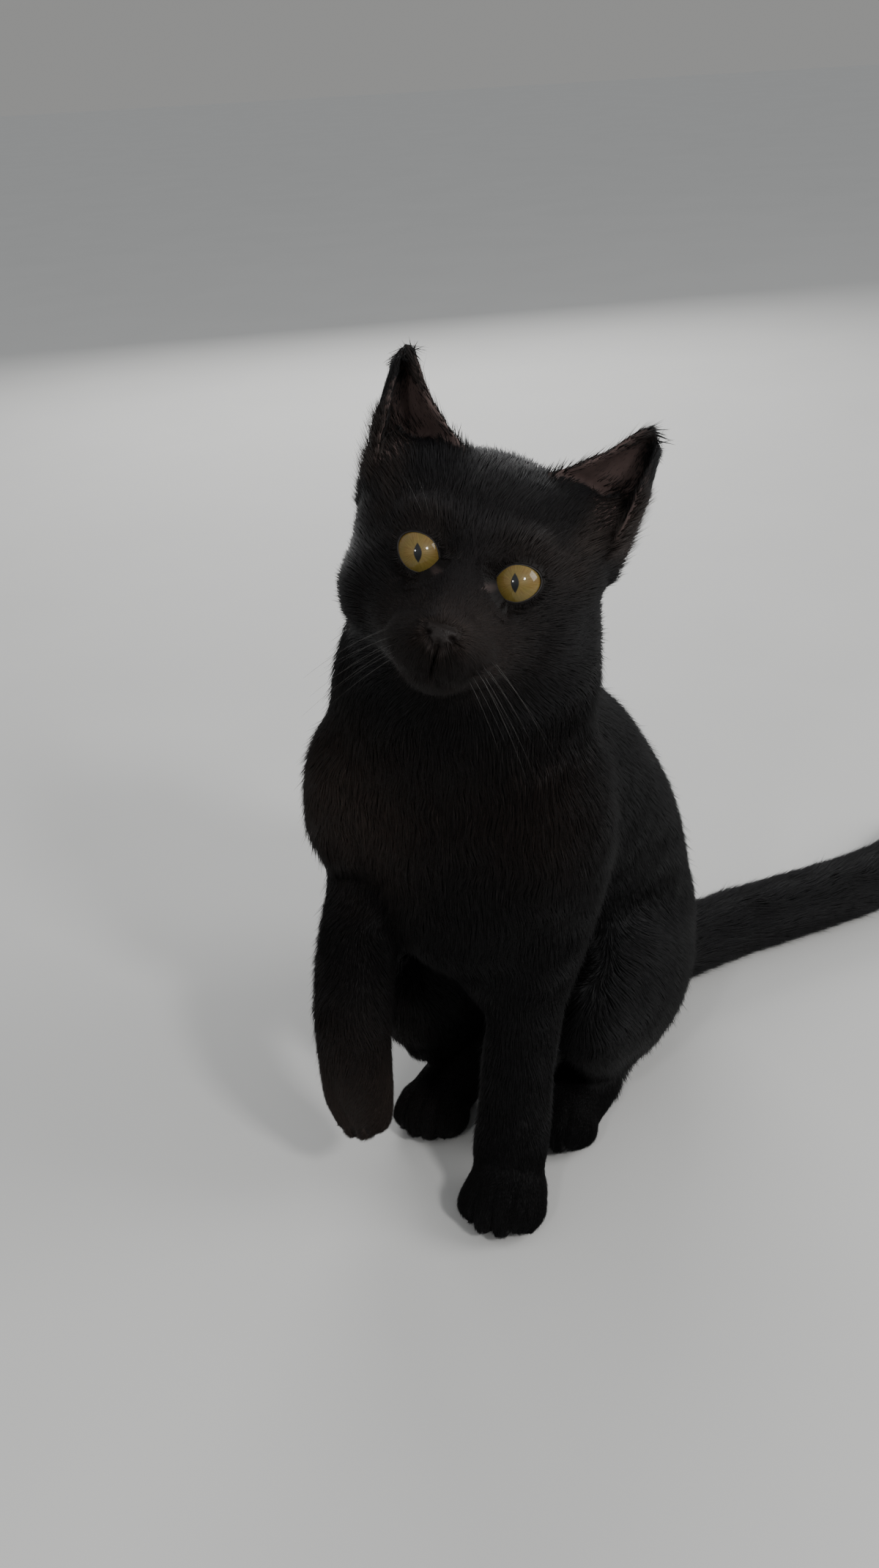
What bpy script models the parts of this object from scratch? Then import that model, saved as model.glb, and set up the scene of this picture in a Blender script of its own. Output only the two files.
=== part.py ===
"""A sitting short-haired cat, life size, with one forepaw lifted and its head turned and tilted.

The cat faces -Y, its left side is +X and +Z is up.  Sizes and places are in
millimetres and are turned into metres where a shape is made.  The outer surface
is that of the coat.  The flesh is modelled whole, from tubes drawn through the
limbs and from rounded masses, then parted by thin cuts into named pieces.
"""
import math

import bmesh
import bpy
from mathutils import Euler, Matrix, Vector

MM = 0.001

# The head: its own frame has its origin midway between the eyes, -Y along the muzzle.
HEAD_PLACE = (20.0, -25.0, 273.0)
HEAD_TURN = 19.5
HEAD_LIFT = -19.3
HEAD_TILT = 19.3
EYE_SPACING = 34.6
EYE_RADIUS = 10.2
EYE_DEPTH = 10.4
EYE_DROP = 0.6

# The forelegs, from the shoulder down: place, half width and half depth.
LEFT_FORELEG = (
    (34, 8, 184, 20, 30),
    (36, 8, 156, 20, 31),
    (33, 10, 130, 18, 26),
    (28.5, 6, 108, 16.5, 20.5),
    (23.5, -2, 84, 15.3, 17.5),
    (21, -9, 60, 15, 15.5),
    (21, -16, 38, 15, 15),
    (22, -26, 22, 16, 13.5),
)
RIGHT_UPPER_ARM = (
    (-40, 0, 186, 21, 30),
    (-46, 4, 159, 22.5, 30),
    (-48.5, 14, 136, 20.5, 25),
    (-47, 8, 121, 20, 20),
)
RIGHT_FOREARM = (
    (-48, 24, 126, 19, 18),
    (-46.8, 0, 116, 17.8, 17.8),
    (-42.5, -22, 101, 16.2, 16.8),
    (-38.3, -37, 84, 15.6, 15.7),
    (-36.5, -42, 66, 14.8, 14.3),
    (-35.5, -43, 50, 14.8, 13),
    (-34, -44, 41.5, 13, 11.5),
)

# How finely the flesh is fused, and how many triangles its head and its body keep.
FUSE_STEP = 2.0
HEAD_TRIANGLES = 1450
BODY_TRIANGLES = 1720

# The pieces are parted by cuts of this width.
GAP = 0.35

# Points closer than this are welded, after each cut and in each finished piece.
CUT_WELD = 0.0005
WELD = 0.05

# The wall of an ear.
EAR_WALL = 2.4

# Where the tail leaves the rump and where it is divided: place and heading in degrees.
TAIL_CUTS = (
    (34, 141, 54),
    (63, 179, 49),
    (97, 217, 49),
    (128, 258, 66),
)


def clear_scene():
    """Remove every object, so that the script can be run again."""
    for item in list(bpy.data.objects):
        bpy.data.objects.remove(item, do_unlink=True)


# ---------------------------------------------------------------- shapes

def blended(stations, steps):
    """Read a smooth row of stations from a short one, all numbers alike (Catmull-Rom)."""
    padded = [stations[0]] + list(stations) + [stations[-1]]
    row = []
    for start in range(1, len(padded) - 2):
        a, b, c, d = padded[start - 1:start + 3]
        for step in range(steps):
            t = step / steps
            row.append([
                0.5 * (2 * q + (r - p) * t + (2 * p - 5 * q + 4 * r - s) * t ** 2
                       + (3 * q - p - 3 * r + s) * t ** 3)
                for p, q, r, s in zip(a, b, c, d)
            ])
    row.append(list(stations[-1]))
    return row


def tube(bm, stations, across=(1, 0, 0), sides=24, steps=4, along=None, rounding=(25, 50, 72)):
    """Draw a round-ended tube through stations of (x, y, z, half width, half depth).

    Its sections follow the line of the tube, or all face along a given direction.
    """
    row = blended(stations, steps)
    points = [Vector(station[:3]) for station in row]
    rings = []
    for index, station in enumerate(row):
        ahead = points[min(index + 1, len(points) - 1)] - points[max(index - 1, 0)]
        ahead = Vector(along) if along else ahead.normalized()
        side = Vector(across) - ahead * ahead.dot(Vector(across))
        side.normalize()
        rings.append((points[index], ahead, side, station[3], station[4]))

    def cap(ring, sign):
        centre, ahead, side, wide, deep = ring
        reach = min(wide, deep)
        made = []
        for angle in rounding:
            lift = math.sin(math.radians(angle)) * reach * sign
            shrink = math.cos(math.radians(angle))
            made.append((centre + ahead * lift, ahead, side, wide * shrink, deep * shrink))
        return made, centre + ahead * reach * sign

    start_rings, start_pole = cap(rings[0], -1)
    end_rings, end_pole = cap(rings[-1], 1)
    rings = start_rings[::-1] + rings + end_rings
    loops = []
    for centre, ahead, side, wide, deep in rings:
        front = ahead.cross(side)
        loops.append([
            bm.verts.new((centre + side * wide * math.cos(2 * math.pi * k / sides)
                          + front * deep * math.sin(2 * math.pi * k / sides)) * MM)
            for k in range(sides)
        ])
    faces = []
    for low, high in zip(loops, loops[1:]):
        for k in range(sides):
            n = (k + 1) % sides
            faces.append(bm.faces.new((low[k], low[n], high[n], high[k])))
    for loop, pole, flip in ((loops[0], start_pole, True), (loops[-1], end_pole, False)):
        tip = bm.verts.new(pole * MM)
        for k in range(sides):
            n = (k + 1) % sides
            faces.append(bm.faces.new((loop[n], loop[k], tip) if flip else (loop[k], loop[n], tip)))
    bmesh.ops.recalc_face_normals(bm, faces=faces)


def mass(bm, centre, radii, turn=(0, 0, 0), fineness=4):
    """Add an ellipsoid, turned by the given degrees about X, Y and Z."""
    spin = Euler([math.radians(angle) for angle in turn]).to_matrix().to_4x4()
    size = Matrix.Diagonal((*(radius * MM for radius in radii), 1.0))
    place = Matrix.Translation(Vector(centre) * MM)
    bmesh.ops.create_icosphere(bm, subdivisions=fineness, radius=1.0, matrix=place @ spin @ size)


def both(x, y, z):
    """The same place on the cat's left and on its right."""
    return ((x, y, z), (-x, y, z))


def head_matrix():
    """Where the head's own frame lies in the cat's frame, in metres."""
    turn = Matrix.Rotation(math.radians(HEAD_TURN), 4, "Z")
    lift = Matrix.Rotation(math.radians(HEAD_LIFT), 4, "X")
    tilt = Matrix.Rotation(math.radians(HEAD_TILT), 4, "Y")
    return Matrix.Translation(Vector(HEAD_PLACE) * MM) @ turn @ lift @ tilt


# ---------------------------------------------------------------- flesh

def add_head(bm):
    """Skull, cheeks, muzzle and chin, in the head's own frame."""
    first = len(bm.verts)
    tube(bm, (
        (0, -10.5, -26, 15, 13),
        (0, -5, -23.5, 18.5, 18),
        (0, 0, -19.5, 24, 22.5),
        (0, 5, -13.5, 30, 28),
        (0, 10, -10, 35, 32),
        (0, 17, -5.5, 40, 36.5),
        (0, 25, -2.5, 43.5, 40),
        (0, 36, 0, 44.5, 41.5),
        (0, 47, -1, 42, 39),
        (0, 57, -2, 36, 33.5),
        (0, 63, -2, 27, 25),
    ), sides=32, along=(0, 1, 0))
    for place in both(25.5, 26, -14.5):
        mass(bm, place, (19, 21, 21))
    for place in both(27, 30, 8):
        mass(bm, place, (18.5, 18, 20))
    for place in both(23, 33, 20):
        mass(bm, place, (20, 17, 18.5))
    for place in both(12, 13, 9):
        mass(bm, place, (13, 10, 10))
    for place in both(33, 33, 21):
        mass(bm, place, (13, 11, 16))
    for place in both(17, 10.5, 11):
        mass(bm, place, (12, 10.5, 8))
    for place in both(25, 13, 0):
        mass(bm, place, (7, 10, 9))
    tube(bm, ((0, 8, 8, 10, 10), (0, 4, -2, 8.5, 9), (0, -4, -10, 7.5, 8), (0, -12.5, -17, 6.5, 6)))
    for place in both(9, 5, -7):
        mass(bm, place, (7, 8, 10))
    mass(bm, (0, -15.5, -20), (6.5, 6.5, 5.5))
    for place in both(8, -8.5, -27):
        mass(bm, place, (10.8, 11.5, 9))
    mass(bm, (0, -5, -35.5), (10, 9.5, 7.5))
    matrix = head_matrix()
    bm.verts.ensure_lookup_table()
    bmesh.ops.transform(bm, matrix=matrix, verts=bm.verts[first:])


def add_trunk(bm):
    """Rump, loins, ribs, chest and neck, in one bent tube, with the breast before it."""
    tube(bm, (
        (11, 126, 20, 32, 20),
        (9, 118, 46, 48, 37),
        (6, 103, 80, 51.5, 44),
        (4, 84, 112, 54.5, 50),
        (0, 58, 142, 56, 54),
        (-4, 28, 172, 55, 51),
        (-3.5, 10, 200, 50.5, 44),
        (3.8, 8, 226, 49.5, 40.5),
        (7.5, 12, 248, 44.5, 38),
    ), sides=32)
    mass(bm, (-3, -3, 164), (44, 28, 40))
    mass(bm, (1, -2, 132), (38, 27, 41))
    mass(bm, (13, 0, 110), (25, 20, 36))


def add_foreleg_left(bm):
    """The straight foreleg that bears the weight, and its paw flat on the floor."""
    tube(bm, LEFT_FORELEG)
    mass(bm, (24, -37, 11), (17.2, 18.5, 13.5))
    toes(bm, (24.5, -45, 8.5), 4.0, 6.4, 9.5, 7)


def toes(bm, middle, step, radius, reach, spread):
    """Four toes side by side across the front of a paw, the middle pair foremost."""
    for index in range(4):
        offset = index - 1.5
        forward = 0.0 if abs(offset) < 1 else 5.0
        place = (middle[0] + offset * 2 * step, middle[1] + forward, middle[2])
        mass(bm, place, (radius, reach + 3, radius + 1.5), (0, 0, offset * spread))


def add_foreleg_right(bm):
    """The lifted foreleg: forearm forward, wrist bent, paw hanging."""
    tube(bm, RIGHT_UPPER_ARM)
    tube(bm, RIGHT_FOREARM)


def add_hindleg(bm, side, shift):
    """Thigh, shank and foot, folded under the sitting body on one side."""
    hip = 9.0

    def at(x, y, z, wide, deep):
        return (hip * min(max(y, 0), 110) / 110 + side * x, y + shift, z, wide, deep)

    tube(bm, (
        at(27, 114, 42, 20, 30),
        at(34, 96, 49, 21, 36.5),
        at(38.5, 70, 55, 21.5, 38.5),
        at(40, 44, 58, 20, 34),
        at(39, 24, 56, 16, 23),
    ))
    tube(bm, (at(38, 32, 42, 14, 18), at(36, 72, 28, 14, 19), at(29, 106, 18, 13, 16)))
    tube(bm, (
        at(26, 106, 10, 12, 11),
        at(27.5, 66, 10, 13, 11),
        at(28.5, 26, 10.5, 15, 12),
    ))
    middle = at(27.5, 13, 10, 0, 0)
    mass(bm, middle[:3], (16.5, 16, 12.5))
    toes(bm, (middle[0], middle[1] - 5, 8.5), 3.8, 6.0, 8.5, 7)


def tail_stations():
    """The tail runs along the floor, back and to the left, and curls a little at its end."""
    return (
        (12, 108, 28, 19, 19),
        (22, 126, 20, 18, 18),
        (38, 146, 16.5, 17.5, 17.5),
        (58, 173, 16, 17, 17),
        (83, 201, 15.6, 16.6, 16.6),
        (108, 229, 15.3, 16.3, 16.3),
        (127, 257, 15, 16, 16),
        (137, 285, 14, 15, 15),
        (139, 309, 12.5, 13, 13),
        (135, 326, 9.5, 9.5, 9.5),
    )


def add_tail(bm):
    tube(bm, tail_stations(), across=(0.8, -0.6, 0), sides=20)


def fuse(bm):
    """Fuse overlapping shapes into one skin."""
    item = as_object(as_mesh(bm))
    remesh = item.modifiers.new("fuse", "REMESH")
    remesh.mode = "VOXEL"
    remesh.voxel_size = FUSE_STEP * MM
    return evaluated(item)


def smoothed(mesh):
    """Round the joins of the fused shapes: most on the trunk, least on the muzzle and the feet."""
    bm = bmesh.new()
    bm.from_mesh(mesh)
    into_head = head_matrix().inverted()

    def relax(verts, rounds):
        for _ in range(rounds):
            bmesh.ops.smooth_vert(
                bm, verts=verts, factor=0.5, use_axis_x=True, use_axis_y=True, use_axis_z=True)

    head, skull, trunk, haunch = [], [], [], []
    for vert in bm.verts:
        place = vert.co / MM
        local = (into_head @ vert.co) / MM
        if local.z > -46 and local.y < 45 and place.z > 205:
            head.append(vert)
            if local.y > 4 + 0.3 * abs(local.x) or local.z > 12:
                skull.append(vert)
        elif place.z > 106:
            trunk.append(vert)
        elif place.y > 18 and place.z > 26 and place.y < 150:
            haunch.append(vert)
    relax(bm.verts, 4)
    for level in (106, 112, 119, 127):
        relax([vert for vert in trunk if vert.co.z > level * MM], 9)
    relax(haunch, 12)
    relax(skull, 12)
    for side in (1, -1):
        press(bm, (side * 17, 2, 0), (9, 7, 8), (0, 1.0, 0))
    bm.to_mesh(mesh)
    bm.free()


def press(bm, centre, radii, move):
    """Push the face in or out round a place in the head's frame, fading with distance."""
    out_of_head = head_matrix()
    into_head = out_of_head.inverted()
    turn = out_of_head.to_3x3()
    push = turn @ (Vector(move) * MM)
    for vert in bm.verts:
        local = (into_head @ vert.co) / MM - Vector(centre)
        far = sum((value / radius) ** 2 for value, radius in zip(local, radii))
        if far < 6:
            vert.co += push * math.exp(-far)


# ---------------------------------------------------------------- ears and eyes

def ear_sheet(side):
    """The cup of an ear between its inner edge, its outer edge and its back, in the head's frame."""
    flare = 3.5 * side
    inner = ((8, 28, 36), (27, 26, 41.5), (44.5, 22, 64))
    outer = ((41, 24, 8), (44, 18, 28), (46.5 + flare, 17, 50), (46, 21.5, 64))
    back = ((40, 46, 16), (47, 42, 46), (45.3, 23.5, 64.3))
    rows, arc = 8, 6

    def bezier(points, v):
        row = [Vector(point) for point in points]
        while len(row) > 1:
            row = [a.lerp(b, v) for a, b in zip(row, row[1:])]
        return row[0]

    bm = bmesh.new()
    grid = []
    for row in range(rows + 1):
        v = row / rows
        edge_in, edge_out, rear = bezier(inner, v), bezier(outer, v), bezier(back, v)
        middle = (edge_in + edge_out) / 2
        line = []
        for column in range(arc + 1):
            angle = math.pi * column / arc
            place = middle + (edge_in - middle) * math.cos(angle) + (rear - middle) * math.sin(angle)
            place.x *= side
            line.append(bm.verts.new(place * MM))
        grid.append(line)
    for low, high in zip(grid, grid[1:]):
        for k in range(arc):
            bm.faces.new((low[k], low[k + 1], high[k + 1], high[k]))
    bmesh.ops.recalc_face_normals(bm, faces=bm.faces)
    bmesh.ops.transform(bm, matrix=head_matrix(), verts=bm.verts)
    mesh = bpy.data.meshes.new("ear")
    bm.to_mesh(mesh)
    bm.free()
    return mesh


# ---------------------------------------------------------------- cutting

def as_mesh(bm):
    """Turn a bmesh into a mesh."""
    mesh = bpy.data.meshes.new("work")
    bm.to_mesh(mesh)
    bm.free()
    return mesh


def as_object(mesh):
    """Put a mesh in the scene for a modifier to work on."""
    item = bpy.data.objects.new("work", mesh)
    bpy.context.scene.collection.objects.link(item)
    return item


def evaluated(item):
    """Take the finished mesh of an object with modifiers, and remove the object."""
    graph = bpy.context.evaluated_depsgraph_get()
    mesh = bpy.data.meshes.new_from_object(item.evaluated_get(graph))
    bpy.data.objects.remove(item, do_unlink=True)
    return mesh


def thinned(mesh, chosen, goal):
    """Thin the triangles round the chosen vertices until the mesh has the given number."""
    item = as_object(mesh)
    item.vertex_groups.clear()
    group = item.vertex_groups.new(name="thin")
    for index, pick in enumerate(chosen):
        group.add([index], 1.0 if pick else 0.0, "REPLACE")
    step = item.modifiers.new("thin", "DECIMATE")
    step.vertex_group = "thin"
    step.vertex_group_factor = 1.0
    step.ratio = goal / triangle_count(mesh.polygons)
    return evaluated(item)


def triangle_count(faces):
    return sum(len(face.vertices) - 2 for face in faces)


def on_head(mesh):
    """Tell for each vertex whether it lies on the head."""
    into_head = head_matrix().inverted()
    picks = []
    for vert in mesh.vertices:
        local = (into_head @ vert.co) / MM
        picks.append(local.z > -46 and local.y < 62 and vert.co.z > 200 * MM)
    return picks


def welded(mesh, distance):
    """Weld the close points of a mesh and make it triangles."""
    bm = bmesh.new()
    bm.from_mesh(mesh)
    bmesh.ops.remove_doubles(bm, verts=bm.verts, dist=distance * MM)
    bmesh.ops.dissolve_degenerate(bm, dist=distance * MM, edges=bm.edges)
    bmesh.ops.triangulate(bm, faces=bm.faces)
    bm.verts.index_update()
    drop_flaps(bm)
    return bm


def largest_body(bm):
    """Keep the largest closed body."""
    left, bodies = set(bm.verts), []
    while left:
        queue = [left.pop()]
        body = set(queue)
        while queue:
            for edge in queue.pop().link_edges:
                for vert in edge.verts:
                    if vert not in body:
                        body.add(vert)
                        left.discard(vert)
                        queue.append(vert)
        bodies.append(body)
    bodies.sort(key=len)
    for body in bodies[:-1]:
        bmesh.ops.delete(bm, geom=list(body), context="VERTS")
    return as_mesh(bm)


def drop_flaps(bm):
    """Remove each pair of triangles that lie back to back on the same three points."""
    seen, flaps = {}, []
    for face in bm.faces:
        corners = frozenset(vert.index for vert in face.verts)
        if corners in seen:
            flaps += [face, seen[corners]]
        seen[corners] = face
    bmesh.ops.delete(bm, geom=flaps, context="FACES_ONLY")
    bmesh.ops.delete(bm, geom=[edge for edge in bm.edges if edge.is_wire], context="EDGES")
    bmesh.ops.delete(bm, geom=[vert for vert in bm.verts if not vert.link_faces], context="VERTS")


def cut(mesh, tool_mesh, operation):
    """Cut a mesh with another, and keep the largest body of what is left."""
    item, tool = as_object(mesh), as_object(tool_mesh)
    step = item.modifiers.new("cut", "BOOLEAN")
    step.operation = operation
    step.object = tool
    result = evaluated(item)
    bpy.data.objects.remove(tool, do_unlink=True)
    return largest_body(welded(result, CUT_WELD))


def part_by(mesh, region):
    """Part a mesh into what lies inside a region and what lies outside it, a gap apart."""
    inside = cut(mesh.copy(), region(0), "INTERSECT")
    outside = cut(mesh, region(GAP), "DIFFERENCE")
    return inside, outside


def beyond(centre, normal, reach=400):
    """The region on the far side of a plane, for a straight cut."""
    def region(margin):
        ahead = Vector(normal).normalized()
        turn = Vector((0, 0, 1)).rotation_difference(ahead).to_matrix().to_4x4()
        place = Matrix.Translation((Vector(centre) - ahead * margin) * MM)
        lift = Matrix.Translation((0, 0, reach * MM))
        bm = bmesh.new()
        bmesh.ops.create_cube(bm, size=2 * reach * MM, matrix=place @ turn @ lift)
        return as_mesh(bm)
    return region


def bar(centre, way, wide, high):
    """The region of a long bar from a place on, in a level direction given in degrees."""
    def region(margin):
        reach = 400
        reach_out, wide_out, high_out = reach + margin, wide + 2 * margin, high + 2 * margin
        size = Matrix.Diagonal((reach_out * MM, wide_out * MM, high_out * MM, 1))
        lift = Matrix.Translation(((reach - margin) / 2 * MM, 0, 0))
        place = Matrix.Translation(Vector(centre) * MM) @ Matrix.Rotation(math.radians(way), 4, "Z")
        bm = bmesh.new()
        bmesh.ops.create_cube(bm, size=1.0, matrix=place @ lift @ size)
        return as_mesh(bm)
    return region


def disc(centre, radii, near, far):
    """The region of an upright oval disc that reaches from one distance to another along X."""
    def region(margin):
        a, b = near - margin, far + margin
        tall, deep = radii[1] + margin, radii[0] + margin
        place = Matrix.Translation(((a + b) / 2 * MM, centre[0] * MM, centre[1] * MM))
        size = Matrix.Diagonal(((b - a) * MM, deep * MM, tall * MM, 1))
        turn = Matrix.Rotation(math.radians(90), 4, "Y")
        bm = bmesh.new()
        bmesh.ops.create_cone(bm, cap_ends=True, segments=28, radius1=1, radius2=1, depth=1,
                              matrix=place @ size @ turn)
        return as_mesh(bm)
    return region


def block(low, high):
    """The region of a block between two corners."""
    def region(margin):
        a = Vector(low) - Vector((margin,) * 3)
        b = Vector(high) + Vector((margin,) * 3)
        size = Matrix.Diagonal((*((b - a) * MM), 1.0))
        bm = bmesh.new()
        bmesh.ops.create_cube(bm, size=1.0, matrix=Matrix.Translation((a + b) / 2 * MM) @ size)
        return as_mesh(bm)
    return region


def sleeve(stations, ease):
    """The region of a sleeve round a limb, a little wider than the limb itself."""
    def region(margin):
        more = ease + margin
        bm = bmesh.new()
        tube(bm, [(x, y, z, wide + more, deep + more) for x, y, z, wide, deep in stations],
             sides=10, steps=1, rounding=(40,))
        return as_mesh(bm)
    return region


def head_side():
    """The region of the head: ahead of the plane from the throat to the nape."""
    matrix = head_matrix()
    centre = matrix @ (Vector((0, 43, -16.5)) * MM) / MM
    return beyond(centre, matrix.to_3x3() @ Vector((0, -0.727, 0.686)))


def grown(mesh, amount):
    """A copy of a mesh, pushed outwards along its normals."""
    bm = bmesh.new()
    bm.from_mesh(mesh)
    bm.normal_update()
    places = [vert.co + vert.normal * amount * MM for vert in bm.verts]
    for vert, place in zip(bm.verts, places):
        vert.co = place
    return as_mesh(bm)


# ---------------------------------------------------------------- the pieces

def model_flesh():
    """The whole cat without its ears and eyes, fused, smoothed and thinned."""
    bm = bmesh.new()
    add_trunk(bm)
    add_head(bm)
    add_foreleg_left(bm)
    add_foreleg_right(bm)
    add_hindleg(bm, 1, 0)
    add_hindleg(bm, -1, -12)
    add_tail(bm)
    flesh = fuse(bm)
    smoothed(flesh)
    picks = on_head(flesh)
    head_count = triangle_count([face for face in flesh.polygons if picks[face.vertices[0]]])
    flesh = thinned(flesh, [not pick for pick in picks], head_count + BODY_TRIANGLES)
    return thinned(flesh, on_head(flesh), HEAD_TRIANGLES + BODY_TRIANGLES)


def eye_ball(side, radius):
    """An eye, in its place in the head."""
    bm = bmesh.new()
    mass(bm, (side * EYE_SPACING / 2, EYE_DEPTH, -EYE_DROP), (radius,) * 3, fineness=3)
    bmesh.ops.transform(bm, matrix=head_matrix(), verts=bm.verts)
    return as_mesh(bm)


def thick_ear(side):
    """An ear, as a cup with a wall."""
    item = as_object(ear_sheet(side))
    wall = item.modifiers.new("wall", "SOLIDIFY")
    wall.thickness = EAR_WALL * MM
    wall.offset = 0
    return evaluated(item)


def divide():
    """Part the cat into its named pieces."""
    pieces = {}
    rest = cut(model_flesh(), block((-500, -500, -90), (500, 500, 0))(0), "DIFFERENCE")

    head, rest = part_by(rest, head_side())
    for side, name in ((1, "left"), (-1, "right")):
        head = cut(head, eye_ball(side, EYE_RADIUS + GAP), "DIFFERENCE")
        pieces["eye_" + name] = eye_ball(side, EYE_RADIUS)
    hull = grown(head, GAP)
    for side, name in ((1, "left"), (-1, "right")):
        pieces["ear_" + name] = cut(thick_ear(side), hull.copy(), "DIFFERENCE")
    pieces["head"] = head
    pieces["neck"], rest = part_by(rest, beyond((-1, 14, 206), (0, -0.336, 0.942)))

    pieces["forepaw_left"], rest = part_by(rest, block((-2, -90, -20), (60, -6, 26)))
    leg, rest = part_by(rest, sleeve(LEFT_FORELEG, 2.5))
    pieces["upper_arm_left"], pieces["forearm_left"] = part_by(leg, beyond((34, 8, 118), (0, 0, 1)))

    arm, rest = part_by(rest, sleeve(RIGHT_FOREARM, 2.0))
    pieces["forearm_right"], pieces["forepaw_right"] = part_by(arm, beyond((-38, -40, 68), (0, 0, 1)))
    pieces["upper_arm_right"], rest = part_by(rest, sleeve(RIGHT_UPPER_ARM, 3.5))

    for sign, shift, name in ((1, 0, "left"), (-1, -12, "right")):
        near, far = sorted((sign * 12 + 3, sign * 95))
        pieces["hind_foot_" + name], rest = part_by(
            rest, block((near, -20 + shift, -20), (far, 114, 23)))
        pieces["thigh_" + name], rest = part_by(
            rest, disc((60 + shift / 2, 34), (66 - shift / 2, 66), near, far))

    x, y, way = TAIL_CUTS[0]
    tail, rest = part_by(rest, bar((x, y, 16), way, 70, 54))
    for number, (x, y, way) in enumerate(TAIL_CUTS[1:], 1):
        back = (-math.cos(math.radians(way)), -math.sin(math.radians(way)), 0)
        pieces["tail_%d" % number], tail = part_by(tail, beyond((x, y, 16), back))
    pieces["tail_%d" % len(TAIL_CUTS)] = tail

    pieces["chest"], rest = part_by(rest, beyond((0, 60, 140), (0, -0.5, 1)))
    pieces["rump"], pieces["belly"] = part_by(rest, beyond((0, 110, 62), (0, 0.4, -1)))
    return pieces


def make_object(name, mesh, colour, roughness):
    """Put a mesh in the scene under its own name, with its own material."""
    item = bpy.data.objects.new(name, mesh)
    bpy.context.scene.collection.objects.link(item)
    material = bpy.data.materials.new(name)
    material.use_nodes = True
    shader = material.node_tree.nodes["Principled BSDF"]
    shader.inputs["Base Color"].default_value = (*colour, 1.0)
    shader.inputs["Roughness"].default_value = roughness
    mesh.materials.clear()
    mesh.materials.append(material)
    return item


def finish_of(name):
    """Colour and roughness of a piece."""
    if name.startswith("eye"):
        return (0.42, 0.30, 0.05), 0.08
    if name.startswith("ear"):
        return (0.028, 0.020, 0.018), 0.75
    return (0.013, 0.012, 0.012), 0.7


def bottom_centre(meshes):
    """The middle of the underside of the box round all meshes."""
    places = [vert.co for mesh in meshes for vert in mesh.vertices]
    low = Vector([min(place[axis] for place in places) for axis in range(3)])
    high = Vector([max(place[axis] for place in places) for axis in range(3)])
    return Vector(((low.x + high.x) / 2, (low.y + high.y) / 2, low.z))


def main():
    clear_scene()
    pieces = divide()
    origin = bottom_centre(pieces.values())
    for name, mesh in sorted(pieces.items()):
        mesh = as_mesh(welded(mesh, WELD))
        mesh.transform(Matrix.Translation(-origin))
        make_object(name, mesh, *finish_of(name))
    return -origin


SHIFT = main()
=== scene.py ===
"""Looks of a sitting black cat: one skin with a modelled face, eyes, whiskers and a coat.

Lengths named in millimetres are turned to metres by MM.  The cat faces -Y and its left is
+X.  The head's own frame has its origin midway between the eyes, -Y along the muzzle and
+Z towards the crown, and turns with the head.
"""
import math

import bmesh
import bpy
import numpy as np
from mathutils import Matrix, Vector


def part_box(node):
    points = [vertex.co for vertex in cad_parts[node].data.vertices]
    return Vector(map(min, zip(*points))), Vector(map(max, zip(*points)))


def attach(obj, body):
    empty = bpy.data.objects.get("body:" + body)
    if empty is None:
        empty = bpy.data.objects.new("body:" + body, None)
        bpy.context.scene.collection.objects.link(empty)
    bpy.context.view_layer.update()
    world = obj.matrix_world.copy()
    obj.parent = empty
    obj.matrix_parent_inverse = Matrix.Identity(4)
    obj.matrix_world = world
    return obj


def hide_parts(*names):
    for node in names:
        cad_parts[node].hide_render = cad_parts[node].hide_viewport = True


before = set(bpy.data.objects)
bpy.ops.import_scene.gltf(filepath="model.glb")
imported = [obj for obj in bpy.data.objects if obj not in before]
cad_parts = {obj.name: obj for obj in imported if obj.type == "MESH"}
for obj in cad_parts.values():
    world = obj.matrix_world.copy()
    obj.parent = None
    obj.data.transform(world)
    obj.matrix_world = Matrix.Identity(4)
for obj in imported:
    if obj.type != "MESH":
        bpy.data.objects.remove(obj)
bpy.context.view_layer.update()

bl_info = {
    "name": "Sitting black cat",
    "version": (1, 0, 0),
    "blender": (4, 5, 0),
    "location": "View3D > Sidebar > Cat",
    "description": "Skin, eyes, whiskers and coat of a life-size sitting cat",
    "category": "Object",
}

MM = 0.001
SEED = 11

# The head's place over the floor point between the forelegs, its turns in degrees,
# and where its eyes lie in it.
HEAD_PLACE = (20.0, -25.0, 273.0)
HEAD_TURN = 19.5
HEAD_LIFT = -19.3
HEAD_TILT = 19.3
EYE_PLACE = (17.3, 10.4, -0.6)
EYE_RADIUS = 10.2

# What the cat looks at, from the floor point between the forelegs.
LOOKS_AT = (218.1, -446.9, 435.5)

# The middle line of the tail on the floor, from its root to its tip.
TAIL_RUN = ((12, 108), (38, 146), (58, 173), (83, 201), (108, 229), (127, 257), (137, 285),
            (139, 309), (135, 326))

# The nose in the head's frame.
NOSE = (0.0, -18.0, -22.0)

# The nodes that the skin stands for: all but the eyes.
FLESH = sorted(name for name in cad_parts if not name.startswith("eye"))


# ---------------------------------------------------------------- places

def eye_centre(side):
    """The middle of an eye, from its node's box."""
    low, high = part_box(sided("eye", side))
    return (Vector(low) + Vector(high)) / 2


def head_turn():
    """The head's rotation."""
    turn = Matrix.Rotation(math.radians(HEAD_TURN), 3, "Z")
    lift = Matrix.Rotation(math.radians(HEAD_LIFT), 3, "X")
    tilt = Matrix.Rotation(math.radians(HEAD_TILT), 3, "Y")
    return turn @ lift @ tilt


def head_origin():
    """The origin of the head's frame, in metres."""
    middle = (eye_centre(1) + eye_centre(-1)) / 2
    return middle - head_turn() @ (Vector((0, EYE_PLACE[1], EYE_PLACE[2])) * MM)


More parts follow.
